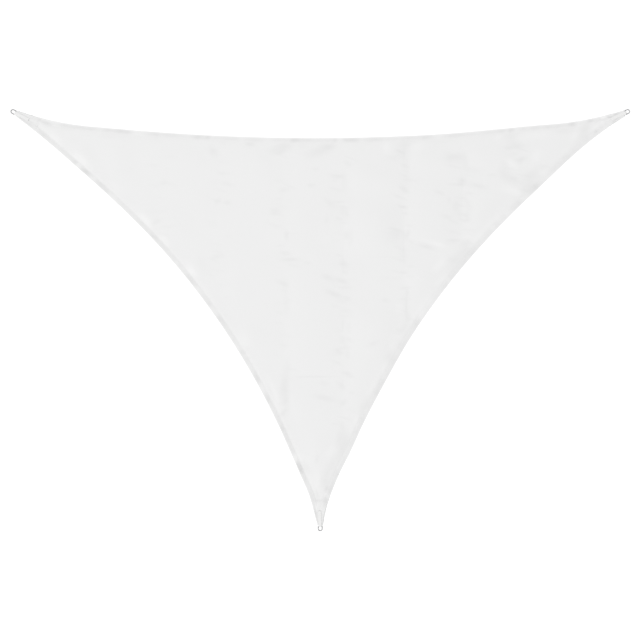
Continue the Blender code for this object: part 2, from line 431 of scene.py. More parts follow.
class Hem(Enum):
    """The three hems, by their edges' numbers."""

    TOP = 0
    LEFT = 1
    RIGHT = 2


@dataclass(frozen=True)
class Edge:
    """One hollow edge: its two ends, and how deep it is cut at each share of its chord."""

    hem: Hem
    start: tuple[float, float]
    end: tuple[float, float]
    hollows_mm: tuple[float, ...]


@dataclass(frozen=True)
class Corner:
    """One corner: the middle of its ring's bow, and the direction from there into the sail."""

    name: str
    x: float
    y: float
    heading_deg: float

    @property
    def inward(self) -> Vector:
        """Return the direction from the ring into the sail."""
        angle = math.radians(self.heading_deg)
        return Vector((math.cos(angle), math.sin(angle), 0.0))


HOLLOW_SHARES = (
    0, 0.02, 0.05, 0.10, 0.15, 0.20, 0.30, 0.40, 0.50, 0.60, 0.70, 0.80, 0.85, 0.90, 0.95, 0.98, 1,
)  # fmt: skip
EDGES = (
    Edge(
        Hem.TOP,
        (-3.007, 2.0705),
        (3.003, 2.0705),
        (0, 39, 88, 144, 173, 199, 241, 266, 273, 262, 234, 181, 151, 126, 76, 33, 0),
    ),
    Edge(
        Hem.LEFT,
        (-3.004, 2.0135),
        (-0.029, -2.0145),
        (0, 28, 69, 130, 184, 238, 329, 390, 413, 401, 353, 271, 216, 159, 98, 39, 0),
    ),
    Edge(
        Hem.RIGHT,
        (3.0015, 2.0085),
        (0.0255, -2.0145),
        (0, 40, 89, 156, 207, 250, 335, 392, 415, 401, 342, 264, 210, 167, 105, 51, 0),
    ),
)
CORNERS = (
    Corner("left", -3.0305, 2.0565, -27.5),
    Corner("right", 3.0305, 2.0565, 205.0),
    Corner("foot", -0.001, -2.0565, 91.5),
)
GAP = 0.3 * MM
TIP_TO_BOW = 0.0225
CLOTH_END = 0.053
WEB_END = 0.200
LIFT_END = 0.206
RAMP_END = 0.250
PATCH_END = 0.307


class Plan:
    """The sail seen from above: its edges, its corners, and distances from them."""

    edge_steps = 36
    crowding = 0.36
    middle = Vector((0.0, 0.7))
    snap = 2 * MM

    def __init__(self, edges: Sequence[Edge], corners: Sequence[Corner]) -> None:
        """Prepare each edge's hollow."""
        self.edges = edges
        self.corners = corners
        self.hollows = {
            edge.hem: smooth_curve(HOLLOW_SHARES, [mm * MM for mm in edge.hollows_mm])
            for edge in edges
        }

    def chord(self, edge: Edge) -> tuple[Vector, Vector, Vector]:
        """Return an edge's start, its chord and the direction straight into the sail."""
        start = Vector(edge.start)
        along = Vector(edge.end) - start
        inward = Vector((-along.y, along.x)).normalized()
        if inward.dot(self.middle - start) < 0:
            inward.negate()
        return start, along, inward

    def edge_points(self, edge: Edge, steps: int | None = None) -> list[Vector]:
        """Return points along an edge, closer together near the corners."""
        steps = steps or self.edge_steps
        start, along, inward = self.chord(edge)
        points = []
        for k in range(steps + 1):
            share = k / steps
            share -= self.crowding * math.sin(2 * math.pi * share) / (2 * math.pi)
            points.append(start + along * share + inward * float(self.hollows[edge.hem](share)))
        return points

    def from_edges(self, x: Array, y: Array) -> tuple[Array, Array, Array]:
        """Measure places against the nearest edge.

        Args:
            x: the places' first coordinates.
            y: their second ones.

        Returns:
            How far in they are, the number of their nearest edge, and metres along its chord.
        """
        inside, runs = [], []
        for edge in self.edges:
            start, along, inward = self.chord(edge)
            dx, dy = x - start.x, y - start.y
            share = np.clip((dx * along.x + dy * along.y) / along.length_squared, 0.0, 1.0)
            inside.append(dx * inward.x + dy * inward.y - self.hollows[edge.hem](share))
            runs.append(share * along.length)
        nearest = np.argmin(inside, axis=0)
        picked = np.arange(len(x))
        return np.array(inside)[nearest, picked], nearest, np.array(runs)[nearest, picked]

    def from_ring(self, x: Array, y: Array) -> Array:
        """Return how far places are from the tip of the nearest ring, along its corner's line."""
        return np.min([self.along_corner(corner, x, y) for corner in self.corners], axis=0)

    def along_corner(self, corner: Corner, x: Array, y: Array) -> Array:
        """Return how far places are from the tip of one ring, along its corner's line."""
        inward = corner.inward
        return (x - corner.x) * inward.x + (y - corner.y) * inward.y + TIP_TO_BOW

    def cut(self, bm: Mesh, point: Vector, normal: Vector, drop: bool = False) -> None:
        """Cut flat faces along a line, and drop what lies on the normal's side if asked."""
        bmesh.ops.bisect_plane(
            bm,
            geom=bm.verts[:] + bm.edges[:] + bm.faces[:],
            dist=self.snap,
            plane_co=point,
            plane_no=normal,
            clear_outer=drop,
        )

    def cut_corner(
        self, bm: Mesh, corner: Corner, distance: float, drop: bool = False
    ) -> None:
        """Cut flat faces square across a corner, and drop the ring's side if asked."""
        centre = Vector((corner.x, corner.y, 0.0))
        self.cut(bm, centre + corner.inward * (distance - TIP_TO_BOW), -corner.inward, drop)

    def cut_grid(self, bm: Mesh, pitch: float) -> None:
        """Cut flat faces into squares over the whole of their box."""
        for axis in (0, 1):
            normal = Vector((1 - axis, axis, 0.0))
            low = min(vert.co[axis] for vert in bm.verts)
            high = max(vert.co[axis] for vert in bm.verts)
            for k in range(math.ceil(low / pitch), math.ceil(high / pitch)):
                self.cut(bm, normal * (k * pitch), normal)

    def outline(self) -> Mesh:
        """Return the sail's outline as one flat face, its corners cut behind the rings."""
        bm = bmesh.new()
        top, left, right = (self.edge_points(edge) for edge in self.edges)
        bm.faces.new([bm.verts.new((*point, 0.0)) for point in left + right[::-1] + top[::-1]])
        for corner in self.corners:
            self.cut_corner(bm, corner, CLOTH_END, drop=True)
        return bm


class Spots:
    """Places on the sail, and where they lie from its edges and its rings."""

    def __init__(self, plan: Plan, x: Array, y: Array, row: Array | None = None) -> None:
        """Measure the places.

        Args:
            plan: the sail's plan.
            x: their first coordinates.
            y: their second ones.
            row: how far in they are by the rows of the hem, where that is known.
        """
        self.x, self.y = x, y
        self.inside, self.nearest, self.run = plan.from_edges(x, y)
        self.ring = plan.from_ring(x, y)
        self.row = self.inside if row is None else row


# --------------------------------------------------------------- folds, creases


def rows_of(kind: type, *rows: Sequence[float]) -> tuple:
    """Return one object of a kind for each row of its values."""
    return tuple(kind(*row) for row in rows)


@dataclass(frozen=True)
class Crease:
    """A soft trough in the cloth, or a ridge where its values are negative.

    Dark is how much shade is painted into the cloth's colour there, a painted highlight where
    negative: 1 takes it to its finish's shade. A darker crease is deeper as well, and depth_mm
    comes on top.
    """

    x: float
    y: float
    length: float
    wide: float
    heading_deg: float
    dark: float
    depth_mm: float = 0.0
    steepness: ClassVar[float] = 0.010

    def depth(self, x: Array, y: Array) -> Array:
        """Return how far it lowers the cloth at each place."""
        return self.shape(x, y) * (self.depth_mm * MM + self.dark * self.wide * self.steepness)

    def shape(self, x: Array, y: Array) -> Array:
        """Return from 0 to 1 how much of the crease is at each place."""
        turn = math.radians(self.heading_deg)
        dx, dy = x - self.x, y - self.y
        along = (dx * math.cos(turn) + dy * math.sin(turn)) / (self.length / 2)
        across = (dy * math.cos(turn) - dx * math.sin(turn)) / (self.wide / 2)
        quarter = math.pi / 2
        shape = np.cos(quarter * np.clip(along, -1, 1)) * np.cos(quarter * np.clip(across, -1, 1))
        return shape**2


@dataclass(frozen=True)
class Pillow:
    """Where a fold runs, and how high the cloth rises between it and the next one."""

    start: float
    rise_mm: float


UPRIGHT_FOLDS = rows_of(  # start, rise
    Pillow,
    (-3.05, 2.0), (-2.161, 2.0), (-1.58, 2.0), (-0.998, 3.5), (-0.357, 5.0), (0.225, 7.0),
    (0.826, 8.0), (1.398, 7.0), (2.0, 6.0), (3.05, 0.0),
)  # fmt: skip
LEVEL_FOLDS = rows_of(  # start, rise
    Pillow,
    (-2.06, 2.0), (-1.743, 2.5), (-1.152, 3.5), (-0.56, 2.5), (0.03, 3.0), (0.623, 4.0),
    (1.215, 3.0), (2.06, 0.0),
)  # fmt: skip
TROUGHS = rows_of(  # the large sunken places: x, y, length, wide, heading, dark, depth
    Crease,
    (-1.067, 1.65, 0.32, 0.24, 20, 0, 3.0), (-0.465, 1.64, 0.36, 0.22, -10, 0, 3.0),
    (-0.04, 1.655, 0.4, 0.2, 0, 0, 2.5), (0.72, 1.66, 0.3, 0.24, 70, 0, 3.0),
    (1.349, 1.6, 0.32, 0.22, 0, 0, 3.5), (1.87, 1.56, 0.42, 0.22, 80, 0, 4.0),
    (2.069, 1.451, 0.4, 0.22, 40, 0, 4.0), (1.428, 0.702, 0.42, 0.22, 60, 0, 4.5),
    (0.708, -0.304, 0.4, 0.2, 60, 0, 3.5), (0.501, -0.728, 0.34, 0.18, 55, 0, 3.0),
    (0.264, -1.211, 0.4, 0.2, 62, 0, 3.0), (1.02, 0.727, 0.42, 0.18, -12, 0, 4.5),
    (0.77, 0.84, 0.34, 0.22, 10, 0, 3.5), (0.19, 0.4, 0.3, 0.18, -22, 0, 2.5),
    (-0.2, 0.59, 0.36, 0.18, 0, 0, 2.0), (-2.33, 1.6, 0.36, 0.26, -53, 0, -3.0),
    (-1.69, 1.01, 0.36, 0.24, -50, 0, -3.0), (-1.21, 0.53, 0.34, 0.24, -53, 0, -3.5),
    (-0.69, -0.17, 0.34, 0.22, -58, 0, -2.5),
)  # fmt: skip
# the dark of these small creases is shade painted into the cloth's colour
CREASES = rows_of(  # the small ones: x, y, length, wide, heading, dark
    Crease,
    # in the right-hand panels
    (1.368, 0.64, 0.56, 0.17, 51, 0.62), (2.058, 1.35, 0.34, 0.26, 60, 0.65),
    (0.848, 0.054, 0.85, 0.11, 90, 0.34), (0.801, 1.664, 0.34, 0.2, 60, 0.6),
    (0.853, 1.5, 0.75, 0.12, 90, 0.42), (0.785, 0.85, 0.32, 0.15, -6, 0.5),
    (1.347, 1.61, 0.32, 0.14, 1, 0.8), (1.855, 1.414, 0.34, 0.17, -29, 0.6),
    (1.064, 0.726, 0.32, 0.09, -16, 0.85), (0.68, -0.36, 0.24, 0.15, 70, 0.7),
    (1.923, 1.711, 0.36, 0.08, 6, 0.5), (1.402, 1.368, 0.18, 0.13, 62, 0.55),
    (0.829, 1.291, 0.18, 0.09, -35, 0.8), (1.343, 1.138, 0.18, 0.12, 60, 0.55),
    (1.986, 1.583, 0.2, 0.09, 32, 0.6), (1.31, 0.78, 0.2, 0.09, 2, 0.35),
    (1.579, 1.322, 0.24, 0.08, -14, 0.5), (0.826, 0.645, 0.24, 0.12, 90, 0.4),
    (0.644, 0.196, 0.14, 0.07, -12, 0.6), (1.176, 1.259, 0.17, 0.07, -21, 0.6),
    (1.402, 1.04, 0.22, 0.07, -10, 0.55), (0.521, -0.231, 0.2, 0.08, 24, 0.5),
    (1.244, 1.024, 0.2, 0.06, -10, 0.5), (0.821, 1.116, 0.15, 0.05, 0, 0.6),
    (0.821, 0.47, 0.15, 0.045, 0, 0.65), (1.274, 1.18, 0.12, 0.07, -77, 0.5),
    (1.69, 1.432, 0.14, 0.05, 2, 0.5), (1.918, 1.748, 0.3, 0.16, -36, 0.5),
    (1.49, 1.34, 0.4, 0.13, -14, 0.4), (1.441, 1.545, 0.26, 0.11, 90, 0.45),
    (1.445, 1.023, 0.22, 0.1, 100, 0.4), (1.439, 1.181, 0.2, 0.09, 110, 0.4),
    (2.219, 1.516, 0.16, 0.08, -4, 0.5), (2.614, 1.863, 0.26, 0.18, 45, 0.6),
    (1.48, 1.1, 0.24, 0.12, 90, 0.4), (0.865, 0.85, 0.16, 0.07, 70, 0.7),
    (0.862, 0.27, 0.14, 0.06, 90, 0.6), (0.785, 0.12, 0.16, 0.11, 0, -0.6),
    (1.508, 1.478, 0.3, 0.12, -16, 0.4), (1.437, 0.765, 0.22, 0.11, 16, 0.45),
    (0.815, -0.09, 0.18, 0.11, 61, 0.5), (1.3, 0.595, 0.14, 0.1, -14, 0.45),
    (0.707, 1.6, 0.18, 0.09, -7, 0.4), (0.875, 0.016, 0.22, 0.055, 94, 0.5),
    (1.915, 1.639, 0.15, 0.08, 0, 0.5), (1.45, 0.983, 0.16, 0.07, 12, 0.45),
    (2.16, 1.416, 0.12, 0.07, 26, 0.5), (2.11, 1.455, 0.3, 0.15, 40, 0.55),
    # in the middle panels and down to the foot
    (0.22, -1.187, 0.38, 0.18, 84, 0.92), (0.085, -1.5, 0.6, 0.14, 68, 0.68),
    (0.12, -1.65, 0.18, 0.07, 70, 0.8), (-0.347, -0.667, 0.5, 0.14, 87, 0.85),
    (-0.325, -0.775, 0.18, 0.09, 80, 0.5), (-0.32, -0.45, 0.26, 0.1, 90, 0.35),
    (-0.33, 0.15, 0.3, 0.1, 90, 0.35), (0.28, -0.07, 0.2, 0.09, 90, 0.4),
    (0.3, 0.82, 0.26, 0.1, 90, 0.4), (-0.484, -0.706, 0.28, 0.07, 110, 0.5),
    (0.272, 1.05, 0.18, 0.08, 92, 0.45), (0.257, 0.09, 0.18, 0.08, -9, 0.45),
    (0.041, -0.621, 0.16, 0.09, -11, 0.45), (0.22, -1.04, 0.14, 0.08, 110, 0.5),
    (0.269, -0.328, 0.16, 0.08, 98, 0.45), (-0.395, 1.649, 0.16, 0.06, 24, 0.5),
    (-0.34, 0.34, 0.24, 0.1, 90, 0.35), (-0.34, -0.9, 0.2, 0.1, 60, 0.4),
    (0.285, -0.19, 0.16, 0.07, -30, 0.5), (0.0, 1.668, 0.42, 0.16, 14, 0.8),
    (-0.4, 1.685, 0.36, 0.15, 12, 0.85), (0.432, -0.844, 0.34, 0.11, 66, 0.7),
    (0.14, 0.259, 0.3, 0.09, -22, 0.85), (0.049, -0.767, 0.32, 0.09, -14, 0.75),
    (0.216, 0.387, 0.24, 0.08, -20, 0.85), (-0.3, 0.598, 0.32, 0.07, 0, 0.6),
    (-0.443, 1.078, 0.17, 0.11, 2, 0.65), (0.239, 0.554, 0.18, 0.12, -60, 0.65),
    (0.071, 0.426, 0.2, 0.09, -16, 0.7), (0.232, 1.074, 0.17, 0.11, -71, 0.5),
    (-0.368, 0.362, 0.21, 0.08, -19, 0.6), (0.185, 1.415, 0.23, 0.07, 6, 0.6),
    (0.267, -0.526, 0.17, 0.065, -15, 0.85), (-0.343, 0.66, 0.2, 0.08, -6, 0.65),
    (0.231, -0.207, 0.17, 0.08, -57, 0.55), (-0.329, 0.836, 0.15, 0.065, 90, 0.8),
    (0.097, 1.157, 0.26, 0.1, -40, 0.5), (0.259, 0.836, 0.14, 0.08, 90, 0.6),
    (-0.358, 1.285, 0.16, 0.08, 6, 0.55), (-0.03, -1.366, 0.16, 0.075, 81, 0.65),
    (0.271, 1.544, 0.14, 0.07, -38, 0.65), (-0.371, -0.919, 0.17, 0.065, 52, 0.6),
    (0.232, -0.813, 0.16, 0.08, 40, 0.6), (0.211, -0.647, 0.14, 0.08, -43, 0.6),
    (0.183, -0.308, 0.16, 0.07, -22, 0.65), (0.269, 0.213, 0.12, 0.08, 0, 0.65),
    (-0.085, 1.33, 0.14, 0.06, 2, 0.7), (0.227, -0.04, 0.2, 0.06, 80, 0.5),
    (0.064, 0.991, 0.13, 0.07, 81, 0.45), (-0.045, 1.491, 0.12, 0.05, 0, 0.5),
    (-0.125, 0.567, 0.12, 0.06, 0, 0.45), (0.251, 1.372, 0.34, 0.12, 92, 0.4),
    (0.087, 1.706, 0.2, 0.1, 8, 0.5),
    # in the left-hand panels
    (-2.54, 1.91, 0.3, 0.1, -14, 0.4), (-1.048, 1.661, 0.22, 0.15, -50, 0.65),
    (-1.008, 0.63, 0.2, 0.08, 11, 0.55), (-0.912, 1.344, 0.23, 0.07, -16, 0.5),
    (-1.615, 0.969, 0.2, 0.08, 30, 0.5), (-0.688, 1.735, 0.16, 0.065, -6, 0.75),
    (-0.914, 1.16, 0.11, 0.075, 0, 0.65), (-1.007, 1.175, 0.13, 0.07, 43, 0.55),
    (-1.545, 1.349, 0.14, 0.065, 0, 0.5),
    # ridges that catch the light: raised, with a painted highlight where dark is negative
    (-2.64, 1.835, 0.36, 0.12, -34, -0.3), (-2.31, 1.59, 0.36, 0.12, -40, -0.25),
    (-2.012, 1.317, 0.32, 0.11, -35, -0.25), (-1.71, 0.955, 0.16, 0.09, -50, -0.15),
    (-1.532, 0.799, 0.26, 0.1, -56, -0.35), (-1.266, 0.492, 0.22, 0.15, -53, -0.25),
    (-0.745, -0.196, 0.2, 0.14, -62, -0.15), (-0.455, -0.713, 0.6, 0.12, -66, -0.55),
    (-0.139, -1.379, 0.25, 0.14, -28, -0.2), (-0.025, -1.6, 0.36, 0.12, -82, -0.35),
    (0.107, -1.298, 0.22, 0.14, 52, -0.4), (1.894, 1.28, 0.36, 0.14, -13, -0.6),
    (1.171, 0.541, 0.26, 0.12, 44, -0.5), (0.958, 1.718, 0.2, 0.16, 0, -0.4),
    (2.112, 1.815, 0.6, 0.12, 5, -0.35), (2.511, 1.82, 0.2, 0.1, 50, -0.5),
    (1.879, 1.554, 0.3, 0.1, -37, -0.5), (0.654, 1.712, 0.22, 0.14, 90, -0.4),
    (2.136, 1.619, 0.22, 0.13, 67, -0.4), (1.476, 0.811, 0.3, 0.08, -13, -0.4),
    (1.185, 0.745, 0.26, 0.07, -19, -0.45), (1.757, 1.804, 0.12, 0.08, 16, -0.4),
)  # fmt: skip
# their dark is painted shade round the patch ends and the webbing's edges, and a painted highlight
# where negative
CORNER_CREASES = rows_of(  # round the patches and the webbing: x, y, length, wide, heading, dark
    Crease,
    # foot
    (0.058, -1.784, 0.06, 0.04, 70, 0.7), (0.04, -1.815, 0.07, 0.04, 60, 0.5),
    (-0.02, -1.778, 0.16, 0.04, 0, 0.9), (-0.031, -1.72, 0.16, 0.06, 106, 0.8),
    (0.055, -1.665, 0.1, 0.06, 60, 0.9), (-0.032, -1.85, 0.12, 0.045, 95, -1.6),
    (-0.043, -1.916, 0.3, 0.024, -80, 1.6), (-0.014, -1.925, 0.08, 0.018, 90, 0.8),
    (-0.03, -1.896, 0.06, 0.02, 0, 1.0),
    # left
    (-2.772, 1.982, 0.08, 0.04, -20, 0.6), (-2.7, 1.94, 0.2, 0.06, -18, 1.7),
    (-2.775, 1.872, 0.08, 0.04, -35, 0.4), (-2.73, 1.828, 0.08, 0.045, -40, 0.4),
    (-2.89, 1.945, 0.22, 0.026, -33, 0.8), (-2.952, 1.998, 0.07, 0.04, -40, 1.2),
    (-2.935, 2.02, 0.07, 0.04, -60, 1.0),
    # right
    (2.882, 2.003, 0.15, 0.026, 9, 2.6), (2.843, 2.003, 0.05, 0.026, 0, 1.4),
    (2.915, 2.03, 0.08, 0.03, 18, 2.6), (2.79, 2.0, 0.08, 0.04, 8, -2.3),
    (2.922, 1.993, 0.06, 0.036, 60, 2.0), (2.894, 1.96, 0.07, 0.024, 32, 1.6),
    (2.72, 1.862, 0.07, 0.045, 40, 1.6), (2.81, 1.9, 0.1, 0.05, 30, -0.8),
    (2.665, 1.968, 0.09, 0.04, 10, 1.4), (2.747, 1.929, 0.24, 0.06, 23, -0.5),
)  # fmt: skip
# their dark is shade painted along each line, on top of its small depth
PRESSED = rows_of(  # sharp lines that the packet left: x, y, length, wide, heading, dark, depth
    Crease,
    (-0.06, -0.556, 0.6, 0.024, 0, 0.7, 0.3), (0.85, 0.11, 0.46, 0.026, 90, 0.6, 0.4),
    (0.826, 0.72, 0.6, 0.026, 90, 0.3, 0.2), (0.826, 1.64, 0.3, 0.026, 90, 0.3, 0.3),
    (0.225, 0.5, 0.5, 0.024, 90, 0.2, 0.2), (0.225, -0.6, 0.5, 0.024, 90, 0.2, 0.2),
    (1.398, 1.25, 0.6, 0.024, 90, 0.3, 0.2), (0.65, 0.623, 0.5, 0.024, 0, 0.3, 0.2),
    (0.7, 0.42, 0.36, 0.024, 0, 0.4, 0.2),
)  # fmt: skip


@dataclass(frozen=True)
class Crumple:
    """A stretch of an upright fold that small creases cross, each with shade painted into the
    cloth's colour.
    """

    x: float
    low: float
    high: float
    count: int
    strength: float
    sideways: ClassVar[tuple[float, float]] = (-0.10, 0.08)
    lengths: ClassVar[tuple[float, float]] = (0.10, 0.28)
    widths: ClassVar[tuple[float, float]] = (0.035, 0.06)
    headings_deg: ClassVar[tuple[float, float]] = (-24, 8)
    strengths: ClassVar[tuple[float, float]] = (0.3, 1.0)

    def creases(self, draw: np.random.Generator) -> list[Crease]:
        """Return its small creases, drawn from a seeded generator."""
        made = []
        for k in range(self.count):
            y = self.low + (self.high - self.low) * (k + draw.random()) / self.count
            x = self.x + draw.uniform(*self.sideways)
            size = [draw.uniform(*limits) for limits in (self.lengths, self.widths)]
            heading = draw.uniform(*self.headings_deg)
            dark = self.strength * draw.uniform(*self.strengths)
            made.append(Crease(x, y, *size, heading, dark))
        return made


CRUMPLED = rows_of(  # x, from y, to y, how many, how strong
    Crumple,
    (0.235, -1.1, 1.6, 30, 0.55), (0.836, -0.2, 1.7, 24, 0.6), (1.398, 0.75, 1.7, 16, 0.6),
    (1.95, 1.2, 1.75, 10, 0.6), (-0.34, -0.9, 1.65, 26, 0.45), (-0.98, 0.2, 1.7, 18, 0.38),
    (-1.56, 0.8, 1.7, 10, 0.34),
)  # fmt: skip


@dataclass(frozen=True)
class Gather:
    """A place where a hem's sewing gathers the cloth, or stretches it where dark is negative.

    Run is metres along the hem's chord. Dark is shade painted into the cloth's colour, a painted
    highlight where negative; gathers on the hem also raise the cloth.
    """

    run: float
    length: float
    dark: float

    def share(self, run: Array) -> Array:
        """Return how much of it is at each place along the hem."""
        away = np.clip((run - self.run) / (self.length / 2), -1, 1)
        return self.dark * np.cos(np.pi / 2 * away) ** 2


@dataclass(frozen=True)
class HemTone:
    """How the shade painted into one hem changes across its width: it is darkest between two rows,
    and its turned edge gets a painted highlight.
    """

    dark: float
    full_from: float
    full_to: float
    gone_at: float
    rim_highlight: float
    rim_highlight_wide: float = 18 * MM

    def band(self, away: Array) -> Array:
        """Return how much of the hem's shade is at places that lie away from the edge."""
        fading = (away - self.full_to) / (self.gone_at - self.full_to)
        return smoothstep(away / self.full_from) * (1 - smoothstep(fading))

    def rim(self, away: Array) -> Array:
        """Return the painted highlight on the turned edge, which lightens the cloth's colour there.
        """
        return self.rim_highlight * (1 - smoothstep(away / self.rim_highlight_wide))


# each hem's painted shade and rim highlight differ with how the light falls on it
HEM_TONES = {
    Hem.TOP: HemTone(0.8, 9 * MM, 30 * MM, 58 * MM, 1.6),
    Hem.LEFT: HemTone(1.2, 7 * MM, 16 * MM, 68 * MM, 0.4),
    Hem.RIGHT: HemTone(0.8, 12 * MM, 38 * MM, 76 * MM, 0.3),
}
# on the hems: their dark is painted shade of the gathers, which also raise the cloth
ON_HEM = {  # run, length, dark
    Hem.TOP: rows_of(
        Gather,
        (0.39, 0.18, -1.1), (0.64, 0.44, 0.5), (0.9, 0.12, 0.9), (1.07, 0.32, 1.2),
        (1.2, 0.24, -1.2), (1.38, 0.14, 0.9), (1.7, 0.1, -0.1), (1.8, 0.2, 0.9), (1.9, 0.08, 1.3),
        (2.0, 0.26, -0.4), (2.23, 0.14, -0.7), (2.49, 0.16, -0.6), (2.75, 0.14, 1.5),
        (2.89, 0.16, 0.4), (3.15, 0.08, 0.7), (3.2, 0.1, -0.8), (3.32, 0.22, 0.8),
        (3.41, 0.16, -0.8), (3.53, 0.22, 0.5), (4.04, 0.24, 0.9), (4.17, 0.2, -0.7),
        (4.36, 0.26, 0.6), (4.56, 0.26, -0.8), (4.8, 0.1, 0.8), (4.89, 0.1, 1.4),
        (4.94, 0.16, -0.9), (5.13, 0.12, 0.7), (5.25, 0.14, 0.7), (5.35, 0.16, 0.5),
        (5.49, 0.14, 1.8), (5.56, 0.16, -0.6), (5.67, 0.12, 0.5),
    ),  # fmt: skip
    Hem.LEFT: rows_of(
        Gather,
        (0.22, 0.14, -1.2), (0.34, 0.12, 0.6), (0.54, 0.1, 0.3), (0.71, 0.08, 1.4),
        (0.76, 0.1, -0.8), (0.86, 0.18, 1.7), (0.95, 0.12, -1.0), (1.04, 0.14, 1.1),
        (1.12, 0.1, 0.7), (1.23, 0.32, -0.7), (1.59, 0.1, 0.5), (1.67, 0.08, 0.5),
        (1.77, 0.16, 1.0), (2.11, 0.08, -0.6), (2.21, 0.2, -0.5), (2.31, 0.2, 0.9),
        (2.45, 0.2, -0.7), (2.52, 0.14, -0.5), (2.72, 0.2, -0.8), (2.81, 0.16, 0.9),
        (3.14, 0.2, -1.1), (3.2, 0.08, 0.7), (3.36, 0.14, -0.5), (3.49, 0.2, 0.9),
        (3.59, 0.2, -1.1), (3.72, 0.12, 0.9), (3.92, 0.14, 0.4), (4.06, 0.28, 1.0),
        (4.16, 0.08, 0.9), (4.35, 0.14, -1.6), (4.46, 0.22, 3.4), (4.57, 0.12, 1.0),
        (4.68, 0.14, -0.6), (4.84, 0.14, -1.2),
    ),  # fmt: skip
    Hem.RIGHT: rows_of(
        Gather,
        (0.36, 0.12, -0.6), (0.58, 0.1, 0.3), (0.71, 0.12, -0.1), (0.93, 0.2, -0.5),
        (1.08, 0.14, 0.7), (1.23, 0.16, -1.2), (1.29, 0.16, 0.1), (1.44, 0.12, -0.8),
        (1.48, 0.1, -0.1), (1.55, 0.1, -0.7), (1.66, 0.08, -0.6), (1.8, 0.14, -0.3),
        (1.98, 0.1, 0.4), (2.12, 0.14, 0.5), (2.26, 0.12, -0.1), (2.33, 0.1, -0.6),
        (2.49, 0.14, -0.6), (2.6, 0.32, -0.7), (2.75, 0.16, -1.1), (2.89, 0.16, 0.6),
        (3.12, 0.16, 0.6), (3.28, 0.2, 0.6), (3.54, 0.14, 1.0), (3.64, 0.18, 0.4),
        (3.85, 0.2, -0.5), (4.08, 0.14, 0.5), (4.25, 0.2, -0.5), (4.35, 0.12, -0.6),
        (4.52, 0.1, 0.7), (4.7, 0.14, 0.9), (4.75, 0.06, -0.6), (4.79, 0.12, 1.2),
        (4.88, 0.12, -0.8),
    ),  # fmt: skip
}
# beside the hems: shade painted into the cloth's colour only
BESIDE_HEM = {  # run, length, dark
    Hem.TOP: rows_of(
        Gather,
        (0.9, 0.24, 0.5), (1.05, 0.32, 0.4), (1.37, 0.28, 0.3), (2.05, 0.12, 0.4),
        (2.31, 0.24, 0.5), (2.66, 0.24, 0.9), (2.83, 0.14, 0.5), (3.08, 0.26, 0.8),
        (3.86, 0.34, 0.7), (4.18, 0.4, 0.4), (4.89, 0.26, 0.9), (5.15, 0.28, -0.2),
        (5.42, 0.28, 1.0), (5.62, 0.16, 0.9),
    ),  # fmt: skip
    Hem.LEFT: rows_of(
        Gather,
        (0.44, 0.3, -0.5), (0.72, 0.36, -0.8), (1.17, 0.12, -0.2), (1.59, 0.32, -1.0),
        (1.7, 0.16, 0.3), (1.86, 0.24, -0.5), (2.26, 0.28, -0.8), (2.8, 0.4, 0.3),
        (3.12, 0.22, -0.4), (3.21, 0.1, 0.4), (4.07, 0.12, 0.3), (4.37, 0.32, -0.3),
        (4.48, 0.2, 1.0), (4.63, 0.24, -0.4),
    ),  # fmt: skip
    Hem.RIGHT: rows_of(
        Gather,
        (0.27, 0.2, -0.6), (0.43, 0.32, 0.6), (0.64, 0.14, -0.4), (0.93, 0.14, -0.5),
        (1.17, 0.4, 0.8), (1.25, 0.12, -0.5), (1.57, 0.28, -0.7), (1.75, 0.4, -0.7),
        (1.99, 0.14, 0.7), (2.14, 0.5, 0.5), (2.37, 0.24, -0.6), (2.72, 0.52, -0.7),
        (3.15, 0.4, 0.5), (3.4, 0.2, -0.5), (3.59, 0.16, -0.6), (4.02, 0.32, -0.7),
        (4.24, 0.56, 0.8), (4.38, 0.44, 0.6), (4.67, 0.18, 0.7), (4.74, 0.12, -0.6),
    ),  # fmt: skip
}


